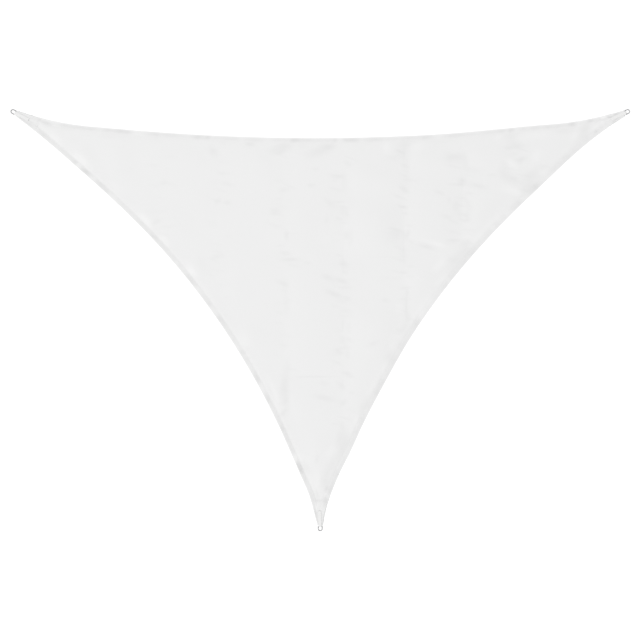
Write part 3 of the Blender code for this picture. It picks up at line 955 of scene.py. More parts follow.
@dataclass
class Relief:
    """The height of the cloth's underside over the floor, and the shade painted into its colour at
    the hems and the creases.
    """

    plan: Plan
    # the hem, and how the cloth rises to the webbing
    hem_wide: float = 45 * MM
    hem_step: float = 4 * MM
    lift: float = 1.8 * MM
    # the pillows between the folds, and the sunken places in them
    folds_start: float = 0.24
    fold_round: float = 1.5 * MM
    troughs_start: float = 0.3
    least_rise: float = 0.2
    unevenness: tuple[float, float] = (0.2, 1.35)
    uneven_pitch: float = 0.20
    drawn_reach: float = 3.2
    # the small creases: how loose the cloth is in them, where they start, and the limits of their
    # painted shade
    slack: float = 1.6 * MM
    softness: float = 0.5 * MM
    creases_start: float = 0.08
    past_patch_fade: float = 0.05
    shade_limits: tuple[float, float] = (-1.6, 3.6)
    # the sewing's fine puckers and wider gathers, which also set the hem's painted shade
    drawn_margin: float = 0.2
    pucker_pitch: float = 31 * MM
    pucker_rise: float = 0.9 * MM
    pucker_power: float = 1.6
    least_pucker: float = 0.05
    slant: float = 0.8
    gather_pitch: float = 80 * MM
    gather_rise: float = 0.5 * MM
    gather_power: float = 1.8
    gather_mean: float = 0.36
    gather_base: float = 0.4
    gather_dark: float = 0.7
    gathered_share: float = 0.85
    # how they fade beyond the hem and before a patch
    beyond_share: float = 0.7
    beyond_rise: float = 12 * MM
    pucker_fade: float = 60 * MM
    keep_off: float = 0.31
    keep_off_fade: float = 0.06
    # the shade painted beside the hems
    beside_dark: float = 0.55
    beside_at: float = 78 * MM
    beside_wide: float = 50 * MM
    # what is drawn, and the list of all small creases
    seed: int = 7
    evenness: dict[tuple[Pillow, ...], list[Curve]] = field(default_factory=dict)
    puckers: list[Curve] = field(default_factory=list)
    gathers: list[Curve] = field(default_factory=list)
    small: list[Crease] = field(default_factory=list)

    def __post_init__(self) -> None:
        """Draw what is uneven: the folds' strength, the hems' puckers, the small creases."""
        draw = np.random.default_rng(self.seed)
        reach = (-self.drawn_reach, self.drawn_reach)
        for folds in (UPRIGHT_FOLDS, LEVEL_FOLDS):
            self.evenness[folds] = [
                self.drawn(draw, reach, self.uneven_pitch, self.unevenness) for _ in folds[1:]
            ]
        for edge in self.plan.edges:
            chord = self.plan.chord(edge)[1].length
            reach = (-self.drawn_margin, chord + 2 * self.drawn_margin)
            for curves, pitch, power in (
                (self.puckers, self.pucker_pitch, self.pucker_power),
                (self.gathers, self.gather_pitch, self.gather_power),
            ):
                curves.append(self.drawn(draw, reach, pitch, power=power))
        self.small = [*CREASES, *CORNER_CREASES, *PRESSED]
        for crumple in CRUMPLED:
            self.small += crumple.creases(draw)

    def drawn(
        self,
        draw: np.random.Generator,
        reach: tuple[float, float],
        pitch: float,
        limits: tuple[float, float] = (0, 1),
        power: float = 1.0,
    ) -> Curve:
        """Draw a smooth uneven curve.

        Args:
            draw: the seeded generator.
            reach: the first station, and where the stations stop.
            pitch: their mean distance.
            limits: the least and the greatest value.
            power: over 1, low values come more often.

        Returns:
            The curve.
        """
        low, high = limits
        stations = np.arange(*reach, pitch)
        stations = stations + draw.uniform(-0.25, 0.25, len(stations)) * pitch
        return smooth_curve(stations, low + (high - low) * draw.random(len(stations)) ** power)

    def pillows(self, folds: Sequence[Pillow], place: Array, other: Array) -> Array:
        """Return the height of a row of pillows.

        Args:
            folds: the folds between them.
            place: coordinates across the folds.
            other: coordinates along them.

        Returns:
            The heights.
        """
        starts = np.array([pillow.start for pillow in folds])
        rises = np.array([pillow.rise_mm * MM for pillow in folds])
        i = np.clip(np.searchsorted(starts, place, side="right") - 1, 0, len(folds) - 2)
        share = np.clip((place - starts[i]) / (starts[i + 1] - starts[i]), 0, 1)
        strength = np.choose(i, [curve(other) for curve in self.evenness[folds]])
        height = rises[i] * strength * 4 * share * (1 - share)
        return np.sqrt(height**2 + self.fold_round**2) - self.fold_round

    def along_hems(self, table: dict[Hem, Sequence[Gather]], at: Spots) -> Array:
        """Return the sum of a table's gathers at places along their nearest hems."""
        sums = [sum(gather.share(at.run) for gather in table[edge.hem]) for edge in self.plan.edges]
        return np.choose(at.nearest, sums)

    def gathered(self, at: Spots) -> Array:
        """Return how much the hem is gathered at places along its edges."""
        drawn = np.clip(np.choose(at.nearest, [curve(at.run) for curve in self.gathers]), 0, 1)
        return (drawn - self.gather_mean) * self.gather_dark + self.along_hems(ON_HEM, at)

    def away(self, at: Spots) -> Array:
        """Return how far in places are, by their row on the hem and by the plan further in."""
        return np.where(at.row < self.hem_wide, at.row, np.maximum(at.inside, self.hem_wide))

    def ripple(self, at: Spots) -> Array:
        """Return how far the hem's sewing puckers the cloth up."""
        away = self.away(at)
        slanted = at.run + away * self.slant
        fine = np.choose(at.nearest, [curve(slanted) for curve in self.puckers])
        fine = np.clip(fine, 0, None)
        wide = np.clip(self.gathered(at) + self.gather_base, 0, 2)
        pulses = fine * self.pucker_rise + wide * self.gather_rise
        least, past = self.least_pucker, away - self.hem_wide
        on_hem = np.sin(np.pi * np.clip(away / self.hem_wide, 0, 1)) * (1 - least) + least
        off_hem = least + self.beyond_share * smoothstep(past / self.beyond_rise)
        off_hem = off_hem * np.exp(-past / self.pucker_fade)
        share = np.where(past < 0, on_hem, off_hem)
        clear = smoothstep((at.ring - self.keep_off) / self.keep_off_fade)
        return pulses * share * clear

    def underside(self, at: Spots) -> Array:
        """Return the height of the cloth's underside."""
        share = (at.inside - self.hem_wide - self.hem_step) / self.folds_start
        rise = self.pillows(UPRIGHT_FOLDS, at.x, at.y) + self.pillows(LEVEL_FOLDS, at.y, at.x)
        rise = rise * smoothstep(share)
        sunk = sum(trough.depth(at.x, at.y) for trough in TROUGHS)
        sunk = sunk * smoothstep(share / self.troughs_start)
        settled = np.maximum(rise - sunk, self.least_rise * rise)
        lifted = self.lift * np.clip((RAMP_END - at.ring) / (RAMP_END - LIFT_END), 0, 1)
        free = smoothstep(share / self.creases_start)
        free = free * smoothstep((at.ring - PATCH_END) / self.past_patch_fade)
        loose = settled + self.slack - sum(crease.depth(at.x, at.y) for crease in self.small)
        loose = (loose + np.sqrt(loose**2 + self.softness**2)) / 2
        return lifted + settled + (loose - settled) * free + self.ripple(at)

    def hem_shade(self, at: Spots) -> Array:
        """Return the shade painted into the colour of the hem's doubled, gathered cloth, less the
        painted highlight on its turned edge.
        """
        away = self.away(at)
        tones = [HEM_TONES[edge.hem] for edge in self.plan.edges]
        band, rim, dark = (
            np.choose(at.nearest, values)
            for values in zip(*((tone.band(away), tone.rim(away), tone.dark) for tone in tones))
        )
        gathers = self.gathered(at) * self.gathered_share
        return band * np.clip(dark + gathers, 0, None) - rim

    def crease_shade(self, at: Spots) -> Array:
        """Return the shade that the small creases and the gathers beside the hems paint into the
        cloth's colour.
        """
        off = np.clip((self.away(at) - self.beside_at) / self.beside_wide, -1, 1)
        beside = self.along_hems(BESIDE_HEM, at) * np.cos(np.pi / 2 * off) ** 2
        dark = sum(crease.shape(at.x, at.y) * crease.dark for crease in self.small)
        return np.clip(dark + beside * self.beside_dark, *self.shade_limits)

    def shade(self, bm: Mesh, at: Spots, hem_share: float = 1.0) -> None:
        """Note on a mesh's points the shade painted by the hem and the creases, which the cloth's
        colour reads.
        """
        note(bm, "hem", self.hem_shade(at) * hem_share)
        note(bm, "shade", self.crease_shade(at))


# ---------------------------------------------------------------- mesh helpers


def only(kind: type, items: Iterable) -> list:
    """Return the items of one kind, out of what an operator has made."""
    return [item for item in items if isinstance(item, kind)]


def turned(degrees: float, axis: str) -> Matrix:
    """Return a turn about an axis."""
    return Matrix.Rotation(math.radians(degrees), 4, axis)


def largest(faces: Iterable[MeshFace]) -> MeshFace:
    """Return the face with the largest area."""
    return max(faces, key=lambda face: face.calc_area())


def draw_in(bm: Mesh, faces: list[MeshFace], width: float) -> list[MeshFace]:
    """Draw flat faces in from their outline, and return the faces that now go round them."""
    rim = bmesh.ops.inset_region(
        bm, faces=faces, thickness=width, use_even_offset=True, use_boundary=True
    )
    return rim["faces"]


def add_rows(bm: Mesh, face: MeshFace, layer: Layer, start: float, rows: Sequence[float]) -> None:
    """Inset a face again and again, and note on its points how far in they are.

    Args:
        bm: the mesh.
        face: the face, which stays the innermost one.
        layer: the points' layer for the distance.
        start: how far in the face's border lies now.
        rows: how far in each new border lies.
    """
    for row in rows:
        draw_in(bm, [face], row - start)
        for vert in face.verts:
            vert[layer] = row
        start = row


def places(bm: Mesh) -> Array:
    """Return the two plan coordinates of all points, each a row."""
    return np.array([vert.co.xy for vert in bm.verts], float).T


def unit(vectors: Array) -> Array:
    """Return vectors brought to a length of 1."""
    return vectors / np.linalg.norm(vectors, axis=1)[:, None]


def thicken(bm: Mesh, bottoms: Array, thicknesses: Array) -> None:
    """Give flat faces their undersides' heights, and a second side above them."""
    many = [face for face in bm.faces if len(face.verts) > 4]
    bmesh.ops.triangulate(bm, faces=many)
    amount = bm.verts.layers.float.new("amount")
    for vert, bottom, thickness in zip(bm.verts, bottoms, thicknesses):
        vert.co.z = bottom
        vert[amount] = thickness
    copied = bmesh.ops.extrude_face_region(bm, geom=bm.faces[:], use_keep_orig=True)
    for vert in only(MeshVert, copied["geom"]):
        vert.co.z += vert[amount]
    bm.verts.layers.float.remove(amount)
    bmesh.ops.recalc_face_normals(bm, faces=bm.faces[:])


def note(bm: Mesh, name: str, values: Array) -> None:
    """Give each point its value under a name that the material reads."""
    layer = bm.verts.layers.float.new(name)
    for vert, value in zip(bm.verts, values):
        vert[layer] = value


def grow(bm: Mesh, rim: list[MeshEdge]) -> tuple[list[MeshEdge], list[MeshVert]]:
    """Extrude an open end in place, and return the new end's edges and points."""
    grown = bmesh.ops.extrude_edge_only(bm, edges=rim)["geom"]
    return only(MeshEdge, grown), only(MeshVert, grown)


def rounded(row: Array, radius: float, least: float = 0.3) -> Array:
    """Return the share of a cloth's thickness that is left near its rounded edge."""
    bow = 1 - np.clip(row / radius, 0, 1)
    return np.maximum(np.sqrt(1 - bow * bow), least)


def new_object(name: str, bm: Mesh, material: Material) -> Piece:
    """Make a smooth-shaded object of a mesh that is in place, on the part's one body.

    Args:
        name: the piece's name.
        bm: its mesh, which is freed.
        material: its finish.

    Returns:
        The object.
    """
    for face in bm.faces:
        face.smooth = True
    mesh = bpy.data.meshes.new(name)
    bm.to_mesh(mesh)
    bm.free()
    mesh.materials.append(material)
    made = bpy.data.objects.new(name, mesh)
    bpy.context.scene.collection.objects.link(made)
    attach(made, "root")
    LOG.info("%s: %d faces", name, len(mesh.polygons))
    return made


# -------------------------------------------------------------- sub-assemblies


@dataclass
class SailCloth:
    """The triangle of cloth, its hem folded in, as it lies after coming out of its packet."""

    plan: Plan
    relief: Relief
    finish: ClothFinish = ClothFinish("sail_cloth_woven")
    thickness: float = 1.5 * MM
    hem_thickness: float = 3 * MM
    far_hem_thickness: float = 2 * MM
    edge_share: float = 0.3
    edge_rise: float = 36 * MM
    rim_rows: tuple[float, ...] = (0.12 * MM, 0.35 * MM, 3.0 * MM)
    hem_rows: tuple[float, ...] = (12 * MM, 24 * MM, 36 * MM, 45 * MM, 46.2 * MM, 49 * MM)
    fold_rows: tuple[float, ...] = (-9 * MM, 0.0, 9 * MM)
    hem_band: float = 62 * MM
    pitch: float = 24.4 * MM
    quick_pitch: float = 40 * MM
    fine_margin: float = 1.15
    fine_least: float = 1.3
    fine_longer: float = 0.55
    fine_share: float = 0.01
    thinner_from_patch: float = 0.25
    flat_size: tuple[float, float] = (6.10, 4.20)
    flat_area: float = 9.34

    def finer(self, bm: Mesh) -> list[MeshEdge]:
        """Return the longer edges near the hems and in small creases."""
        middles = np.array([(e.verts[0].co.xy + e.verts[1].co.xy) / 2 for e in bm.edges], float)
        lengths = np.array([edge.calc_length() for edge in bm.edges])
        x, y = middles[:, 0], middles[:, 1]
        near = self.plan.from_edges(x, y)[0] < self.hem_band
        for crease in self.relief.small:
            wide = max(crease.wide * self.fine_margin, self.fine_least * self.pitch)
            grown = replace(crease, length=crease.length * self.fine_margin, wide=wide)
            near |= grown.shape(x, y) > self.fine_share
        near &= lengths > self.pitch * self.fine_longer
        return [edge for edge, chosen in zip(bm.edges[:], near) if chosen]

    def cut_folds(self, bm: Mesh) -> None:
        """Cut flat faces along each fold and close beside it."""
        for normal, folds in ((Vector((1, 0, 0)), UPRIGHT_FOLDS), (Vector((0, 1, 0)), LEVEL_FOLDS)):
            for fold in folds[1:-1]:
                for row in self.fold_rows:
                    self.plan.cut(bm, normal * (fold.start + row), normal)

    def thicknesses(self, at: Spots) -> Array:
        """Return the cloth's thickness."""
        far = smoothstep((at.ring - PATCH_END) / self.thinner_from_patch)
        hem = self.hem_thickness + (self.far_hem_thickness - self.hem_thickness) * far
        hem = hem * (1 - far * (1 - self.edge_share) * (1 - smoothstep(at.row / self.edge_rise)))
        hem_end, full_from = self.hem_rows[-3], self.hem_rows[-1]
        step = smoothstep((at.row - hem_end) / (full_from - hem_end))
        full = hem + (self.thickness - hem) * step
        return full * rounded(at.row, self.rim_rows[1])

    def top(self, at: Spots) -> Array:
        """Return the height of the cloth's upper side."""
        return self.relief.underside(at) + self.thicknesses(at)

    def build(self) -> Piece:
        """Build the sheet and hide its solid.

        Returns:
            The object.
        """
        bm = self.plan.outline()
        layer = bm.verts.layers.float.new("row")
        add_rows(bm, largest(bm.faces), layer, 0.0, self.rim_rows)
        for corner in self.plan.corners:
            self.plan.cut_corner(bm, corner, LIFT_END)
        add_rows(bm, largest(bm.faces), layer, self.rim_rows[-1], self.hem_rows)
        for corner in self.plan.corners:
            self.plan.cut_corner(bm, corner, RAMP_END)
        self.cut_folds(bm)
        self.plan.cut_grid(bm, self.pitch)
        bmesh.ops.subdivide_edges(bm, edges=self.finer(bm), cuts=1, use_grid_fill=True)

        at = Spots(self.plan, *places(bm), np.array([vert[layer] for vert in bm.verts]))
        self.relief.shade(bm, at)
        thicken(bm, self.relief.underside(at), self.thicknesses(at))
        made = new_object("sail", bm, self.finish.material())
        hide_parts("sail_cloth")
        return made


@dataclass
class CornerPatch:
    """A second layer of cloth sewn over a corner."""

    plan: Plan
    relief: Relief
    sail: SailCloth
    corner: Corner
    finish: ClothFinish
    thickness: float = 1.5 * MM
    inset: float = 3 * MM
    rim_rows: tuple[float, ...] = (0.2 * MM, 0.6 * MM)
    pitch: float = 5 * MM
    pucker: float = 0.35 * MM
    thin_end: float = 0.14
    taper: float = 30 * MM
    hem_share: float = 0.8
    free_rise: float = 30 * MM
    least_gap: float = 0.2
    wave_lengths: tuple[float, float] = (31 * MM, 83 * MM)
    wave_phase: float = 1.0
    pucker_from: float = 4 * MM
    pucker_full: float = 12 * MM

    def keep_corner(self, bm: Mesh) -> None:
        """Drop all of the outline but this corner, and draw its border in."""
        self.plan.cut_corner(bm, self.corner, PATCH_END)
        far = [face for face in bm.faces if self.distance(face.calc_center_median()) > PATCH_END]
        bmesh.ops.delete(bm, geom=far, context="FACES")
        bmesh.ops.delete(bm, geom=draw_in(bm, bm.faces[:], self.inset), context="FACES")

    def distance(self, place: Vector) -> float:
        """Return how far a place is from the ring's tip."""
        return float(self.plan.along_corner(self.corner, place.x, place.y))

    def end_taper(self, at: Spots) -> Array:
        """Return how far the taper at the inner end has risen, from 0 to 1."""
        along = self.plan.along_corner(self.corner, at.x, at.y)
        return smoothstep((PATCH_END - self.inset - along) / self.taper)

    def thicknesses(self, at: Spots) -> Array:
        """Return the patch's thickness, which is less near its inner end."""
        return self.thickness * (self.thin_end + (1 - self.thin_end) * self.end_taper(at))

    def heights(self, at: Spots) -> Array:
        """Return the height of the patch's underside, which lies on the sail."""
        along = self.plan.along_corner(self.corner, at.x, at.y)
        free = smoothstep((along - LIFT_END) / self.free_rise)
        free = free * smoothstep((at.inside - self.pucker_from) / self.pucker_full)
        gap = GAP * (self.least_gap + (1 - self.least_gap) * self.end_taper(at))
        short, long = (2 * np.pi * at.run / length for length in self.wave_lengths)
        puffed = self.pucker * np.clip(np.sin(short) * np.sin(long + self.wave_phase), 0, 1) * free
        return self.sail.top(at) + gap + puffed

    def top(self, at: Spots) -> Array:
        """Return the height of the patch's upper side."""
        return self.heights(at) + self.thicknesses(at)

    def build(self) -> Piece:
        """Build the patch and hide its solid.

        Returns:
            The object.
        """
        bm = self.plan.outline()
        self.keep_corner(bm)
        layer = bm.verts.layers.float.new("row")
        add_rows(bm, largest(bm.faces), layer, 0.0, self.rim_rows)
        for distance in (LIFT_END, RAMP_END):
            self.plan.cut_corner(bm, self.corner, distance)
        self.plan.cut_grid(bm, self.pitch)
        at = Spots(self.plan, *places(bm))
        row = np.array([vert[layer] for vert in bm.verts])
        self.relief.shade(bm, at, self.hem_share)
        thicken(bm, self.heights(at), self.thicknesses(at) * rounded(row, self.rim_rows[-1]))
        made = new_object(f"patch_{self.corner.name}", bm, self.finish.material())
        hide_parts(f"corner_patch_{self.corner.name}")
        return made


def corner_frame(corner: Corner, distance: float = 0.0, height: float = 0.0) -> Matrix:
    """Return the placement on a corner's line with X into the sail and Z up.

    Args:
        corner: the corner.
        distance: metres from the ring's tip.
        height: metres above the floor.

    Returns:
        The placement.
    """
    centre = Vector((corner.x, corner.y, height)) + corner.inward * (distance - TIP_TO_BOW)
    return Matrix.Translation(centre) @ turned(corner.heading_deg, "Z")


WIRE = 6 * MM
WEB_THICK = 1.5 * MM
BAR_AT = TIP_TO_BOW + 24.5 * MM
BAR_HEIGHT = WIRE / 2 + GAP + WEB_THICK


@dataclass
class WebbingLoop:
    """A strip of tape folded round the ring's bar, one leg under the cloth and one on it."""

    corner: Corner
    finish: WebbingFinish = WebbingFinish()
    wide: float = 30 * MM
    top_leg: float = 6.9 * MM
    slope: float = 15 * MM
    leg_steps: int = 30
    wrap_steps: int = 14
    columns: int = 11
    selvedge_steps: int = 8

    def path(self) -> list[tuple[Vector, float]]:
        """Return the middle line of the tape, in the corner's frame, and its heading there."""
        radius = WIRE / 2 + GAP + WEB_THICK / 2
        points = [
            (Vector((WEB_END + (BAR_AT - WEB_END) * k / self.leg_steps, 0, WEB_THICK / 2)), 180.0)
            for k in range(self.leg_steps)
        ]
        for k in range(self.wrap_steps + 1):
            turn = math.pi * k / self.wrap_steps
            offset = Vector((-math.sin(turn), 0, -math.cos(turn))) * radius
            points.append((Vector((BAR_AT, 0, BAR_HEIGHT)) + offset, 180.0 + math.degrees(turn)))
        high, low = BAR_HEIGHT + radius, self.top_leg + WEB_THICK / 2
        end = WEB_END - BAR_AT
        for k in range(1, self.leg_steps + 1):
            share = k / self.leg_steps
            drop = float(smoothstep(np.array(share * end / self.slope)))
            points.append((Vector((BAR_AT + end * share, 0, high + (low - high) * drop)), 0.0))
        return points

    def section(self, bm: Mesh) -> list[MeshEdge]:
        """Return the tape's outline in the YZ plane: flat sides and round selvedges."""
        half = WEB_THICK / 2
        bmesh.ops.create_circle(bm, segments=2 * self.selvedge_steps, radius=half)
        bmesh.ops.rotate(bm, verts=bm.verts[:], matrix=Matrix.Rotation(math.pi / 2, 3, "Y"))
        step = math.pi / self.selvedge_steps / 2
        bmesh.ops.rotate(bm, verts=bm.verts[:], matrix=Matrix.Rotation(step, 3, "X"))
        for vert in bm.verts:
            vert.co.y += math.copysign(self.wide / 2 - half, vert.co.y)
        long = [edge for edge in bm.edges if edge.calc_length() > self.wide / 2]
        bmesh.ops.subdivide_edges(bm, edges=long, cuts=self.columns)
        return bm.edges[:]

    def build(self) -> Piece:
        """Build the tape and hide its solid.

        Returns:
            The object.
        """
        bm = bmesh.new()
        along = bm.verts.layers.float.new("along")
        rim = self.section(bm)
        verts = bm.verts[:]
        back = Matrix.Identity(4)
        run, last = 0.0, None
        for point, heading in self.path():
            if last is not None:
                run += (point - last).length
                rim, verts = grow(bm, rim)
            placed = Matrix.Translation(point) @ turned(heading, "Y")
            bmesh.ops.transform(bm, matrix=placed @ back, verts=verts)
            for vert in verts:
                vert[along] = run
            back, last = placed.inverted(), point
        ends = [edge for edge in bm.edges if edge.is_boundary]
        bmesh.ops.holes_fill(bm, edges=ends)
        self.map_tape(bm, along)
        bmesh.ops.transform(bm, matrix=corner_frame(self.corner), verts=bm.verts[:])
        bmesh.ops.recalc_face_normals(bm, faces=bm.faces[:])
        made = new_object(f"webbing_{self.corner.name}", bm, self.finish.material())
        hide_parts(f"webbing_loop_{self.corner.name}")
        return made

    def map_tape(self, bm: Mesh, along: Layer) -> None:
        """Unroll the tape into its UV map, in metres along and across it."""
        uv = bm.loops.layers.uv.new("tape")
        for face in bm.faces:
            for loop in face.loops:
                loop[uv].uv = (loop.vert[along], loop.vert.co.y)


@dataclass
class DRing:
    """A welded wire ring: a round bow outwards, two short sides and a straight bar."""

    corner: Corner
    finish: SteelFinish = SteelFinish()
    bow_radius: float = 19.5 * MM
    bar_from_bow: float = 24.5 * MM
    bend: float = 4 * MM
    merge: float = 0.02 * MM
    ground_clear: float = 0.1 * MM
    round_steps: int = 20
    bow_steps: int = 48
    bend_steps: int = 12

    def turn(
        self,
        bm: Mesh,
        rim: list[MeshEdge],
        centre: tuple[float, float],
        angle_deg: float,
        steps: int,
    ) -> list[MeshEdge]:
        """Carry the wire's open end round a bend.

        Args:
            bm: the mesh.
            rim: the open end's edges.
            centre: the bend's middle in the ring's plane.
            angle_deg: how far it turns.
            steps: in how many pieces.

        Returns:
            The new open end.
        """
        spun = bmesh.ops.spin(
            bm,
            geom=rim,
            cent=(*centre, 0.0),
            axis=(0, 0, 1),
            angle=math.radians(angle_deg),
            steps=steps,
            use_duplicate=False,
        )
        return only(MeshEdge, spun["geom_last"])

    def build(self) -> Piece:
        """Build the ring and hide its solid.

        Returns:
            The object.
        """
        bm = bmesh.new()
        bmesh.ops.create_circle(bm, segments=self.round_steps, radius=WIRE / 2)
        upright = Matrix.Translation((0, self.bow_radius, 0)) @ turned(90, "Y")
        bmesh.ops.transform(bm, matrix=upright, verts=bm.verts[:])
        rim = bm.edges[:]
        side = self.bar_from_bow - self.bend
        edge = self.bow_radius - self.bend
        rim = self.turn(bm, rim, (0, 0), 180, self.bow_steps)
        rim, verts = grow(bm, rim)
        bmesh.ops.translate(bm, verts=verts, vec=(side, 0, 0))
        rim = self.turn(bm, rim, (side, -edge), 90, self.bend_steps)
        rim, verts = grow(bm, rim)
        bmesh.ops.translate(bm, verts=verts, vec=(0, 2 * edge, 0))
        rim = self.turn(bm, rim, (side, edge), 90, self.bend_steps)
        _, verts = grow(bm, rim)
        bmesh.ops.translate(bm, verts=verts, vec=(-side, 0, 0))
        bmesh.ops.remove_doubles(bm, verts=bm.verts[:], dist=self.merge)
        bmesh.ops.recalc_face_normals(bm, faces=bm.faces[:])

        tip = WIRE / 2 + self.ground_clear
        slope = math.asin((BAR_HEIGHT - tip) / (self.bar_from_bow + self.bow_radius))
        height = tip + self.bow_radius * math.sin(slope)
        place = corner_frame(self.corner, TIP_TO_BOW, height) @ turned(-math.degrees(slope), "Y")
        bmesh.ops.transform(bm, matrix=place, verts=bm.verts[:])
        made = new_object(f"ring_{self.corner.name}", bm, self.finish.material())
        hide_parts(f"d_ring_{self.corner.name}")
        return made


@dataclass
class Stitching:
    """Rows of lockstitch, each row a joined mesh of one small stitch set down many times."""

    plan: Plan
    sail: SailCloth
    finish: ThreadFinish = ThreadFinish()
    pitch: float = 5 * MM
    length: float = 3.8 * MM
    thread: float = 0.6 * MM
    sink: float = 0.3 * MM
    border_steps: int = 500
    hem_rows: tuple[float, ...] = (37 * MM, 42 * MM)
    patch_row: float = 4 * MM
    webbing_edge: float = 3 * MM
    box_from_bar: float = 22 * MM
    box_from_end: float = 5 * MM
    box_share: float = 1.2

    def stitch(self) -> tuple[Array, list[tuple[int, ...]]]:
        """Return one stitch's points and faces: a long bead that dips at both ends."""
        bm = bmesh.new()
        bmesh.ops.create_uvsphere(bm, u_segments=5, v_segments=3, radius=0.5)
        size = Matrix.Diagonal((self.length, self.thread, self.thread, 1.0))
        bmesh.ops.transform(bm, matrix=size @ turned(90, "Y"), verts=bm.verts[:])
        bm.verts.index_update()
        points = np.array([vert.co for vert in bm.verts], float)
        faces = [tuple(vert.index for vert in face.verts) for face in bm.faces]
        bm.free()
        return points, faces

    def spaced(self, line: Array) -> Array:
        """Return places a stitch apart along a line of points."""
        steps = np.linalg.norm(np.diff(line, axis=0), axis=1)
        run = np.concatenate([[0.0], np.cumsum(steps)])
        at = np.arange(self.pitch / 2, run[-1], self.pitch)
        return np.stack([np.interp(at, run, line[:, k]) for k in range(line.shape[1])], axis=1)

    def set_down(self, name: str, lines: Sequence[Array]) -> Piece:
        """Join a stitch at each place along some lines into one piece.

        Args:
            name: the piece's name.
            lines: points along the middle of each row of stitches, on the cloth's surface.

        Returns:
            The object.
        """
        points, faces = self.stitch()
        middles = [self.spaced(line) for line in lines]
        middle = np.concatenate(middles)
        way = unit(np.concatenate([np.gradient(at, axis=0) for at in middles]))
        side = unit(np.cross([0.0, 0.0, 1.0], way))
        axes = np.stack([way, side, np.cross(way, side)], axis=1)
        set_points = np.einsum("pk,skc->spc", points, axes) + middle[:, None, :]
        set_points[..., 2] += self.thread / 2 - self.sink
        mesh = bpy.data.meshes.new(name)
        offsets = [k * len(points) for k in range(len(middle))]
        mesh.from_pydata(
            set_points.reshape(-1, 3).tolist(),
            [],
            [tuple(i + offset for i in face) for offset in offsets for face in faces],
        )
        bm = bmesh.new()
        bm.from_mesh(mesh)
        bpy.data.meshes.remove(mesh)
        made = new_object(name, bm, self.finish.material())
        return made

    def hem_lines(self) -> list[Array]:
        """Return the lines of stitches that hold the hem down, outside the patches."""
        lines = []
        for edge in self.plan.edges:
            border = np.array(self.plan.edge_points(edge, self.border_steps), float)
            way = unit(np.gradient(border, axis=0))
            side = np.stack([-way[:, 1], way[:, 0]], axis=1)
            _, _, inward = self.plan.chord(edge)
            side *= np.sign(side @ np.array(inward))[:, None]
            for row in self.hem_rows:
                flat = border + side * row
                flat = self.spaced(flat[self.plan.from_ring(*flat.T) > PATCH_END + self.pitch])
                at = Spots(self.plan, *flat.T, np.full(len(flat), row))
                lines.append(np.column_stack([flat, self.sail.top(at)]))
        return lines

    def patch_line(self, patch: CornerPatch) -> Array:
        """Return the line of stitches round a patch, on its upper side."""
        bm = self.plan.outline()
        patch.keep_corner(bm)
        draw_in(bm, bm.faces[:], self.patch_row)
        border = [vert.co.xy for vert in largest(bm.faces).verts]
        bm.free()
        flat = self.spaced(np.array([*border, border[0]], float))
        return np.column_stack([flat, patch.top(Spots(self.plan, *flat.T))])

    def webbing_lines(self, loop: WebbingLoop) -> list[Array]:
        """Return the box and cross that sew a webbing's upper leg down."""
        half = loop.wide / 2 - self.webbing_edge
        near, far = BAR_AT + self.box_from_bar, WEB_END - self.box_from_end
        mid = far - self.box_share * 2 * half
        top = loop.top_leg + WEB_THICK
        strokes = [
            [(near, -half), (far, -half), (far, half), (near, half), (near, -half)],
            [(mid, -half), (mid, half), (far, -half)],
            [(mid, -half), (far, half)],
            [(near + self.webbing_edge, -half), (near + self.webbing_edge, half)],
        ]
        frame = corner_frame(loop.corner)
        return [
            np.array([frame @ Vector((along, across, top)) for along, across in stroke], float)
            for stroke in strokes
        ]


# ---------------------------------------------------------------------- studio


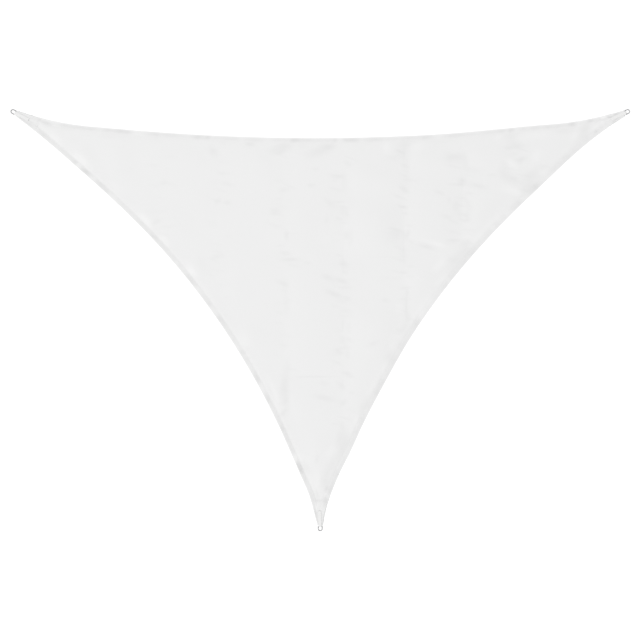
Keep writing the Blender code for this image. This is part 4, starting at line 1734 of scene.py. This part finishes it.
@dataclass
class Studio:
    """The floor, the soft light and the camera straight above."""

    view_width: float = 640 * 9.86 * MM
    view_centre: tuple[float, float] = (-0.002, 0.002)
    lens: float = 85.0
    sensor: float = 36.0
    sky: float = 0.94
    key_share: float = 0.30
    key_distance: float = 130.0
    key_size: float = 72.0
    key_from: tuple[float, float] = (-1.0, -0.35)
    key_height_deg: float = 36.0
    floor_size: float = 120.0
    floor_drop: float = 0.2 * MM
    far_clip: float = 400.0

    def floor(self, finish: FloorFinish = FloorFinish()) -> None:
        """Lay the floor just under the sail."""
        bm = bmesh.new()
        bmesh.ops.create_grid(bm, x_segments=8, y_segments=8, size=self.floor_size / 2)
        bmesh.ops.translate(bm, verts=bm.verts[:], vec=(0, 0, -self.floor_drop))
        made = new_object("floor", bm, finish.material())

    def lights(self) -> None:
        """Fill the room with even light, and add a softer, stronger part from the left."""
        world = bpy.data.worlds.new("studio")
        world.use_nodes = True
        background = world.node_tree.nodes["Background"]
        background.inputs["Color"].default_value = (1, 1, 1, 1)
        background.inputs["Strength"].default_value = self.sky
        bpy.context.scene.world = world
        light = bpy.data.lights.new("key", "AREA")
        light.size = self.key_size
        height = math.radians(self.key_height_deg)
        needed = self.key_share * math.pi / math.sin(height)
        light.energy = needed * math.pi * self.key_distance**2
        lamp = bpy.data.objects.new("key", light)
        flat = Vector((*self.key_from, 0)).normalized() * math.cos(height)
        towards = Vector((flat.x, flat.y, math.sin(height)))
        lamp.location = towards * self.key_distance
        lamp.rotation_euler = towards.to_track_quat("Z", "Y").to_euler()
        bpy.context.scene.collection.objects.link(lamp)

    def camera(self) -> None:
        """Hang the camera straight above the sail, with the long hem at the top."""
        data = bpy.data.cameras.new("above")
        data.lens = self.lens
        data.sensor_width = self.sensor
        data.sensor_fit = "HORIZONTAL"
        data.clip_end = self.far_clip
        made = bpy.data.objects.new("above", data)
        made.location = (*self.view_centre, self.view_width * self.lens / self.sensor)
        bpy.context.scene.collection.objects.link(made)
        bpy.context.scene.camera = made

    def build(self) -> None:
        """Build all of it, and show colours as they are."""
        self.floor()
        self.lights()
        self.camera()
        bpy.context.scene.view_settings.view_transform = "Standard"


def main() -> None:
    """Build the sail's pieces in order, then the studio."""
    logging.basicConfig(level=logging.INFO, format="%(name)s: %(message)s")
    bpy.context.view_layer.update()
    plan = Plan(EDGES, CORNERS)
    relief = Relief(plan)
    cloth = SailCloth(plan, relief)
    sail = cloth.build()
    # the patch's colour is a little darker than the sail's, painted shade of the doubled cloth
    patch_finish = ClothFinish("patch_cloth_woven", colour=(0.698, 0.698, 0.698))
    stitching = Stitching(plan, cloth)
    sewn = [stitching.set_down("stitches_hem", stitching.hem_lines())]
    for corner in CORNERS:
        patch = CornerPatch(plan, relief, cloth, corner, patch_finish)
        loop = WebbingLoop(corner)
        laid = patch.build()
        tape = loop.build()
        DRing(corner).build()
        round_patch = [stitching.patch_line(patch)]
        rows = stitching.set_down(f"stitches_patch_{corner.name}", round_patch)
        box = stitching.webbing_lines(loop)
        stitching.set_down(f"stitches_webbing_{corner.name}", box)
    Studio().build()


if __name__ == "__main__":
    main()
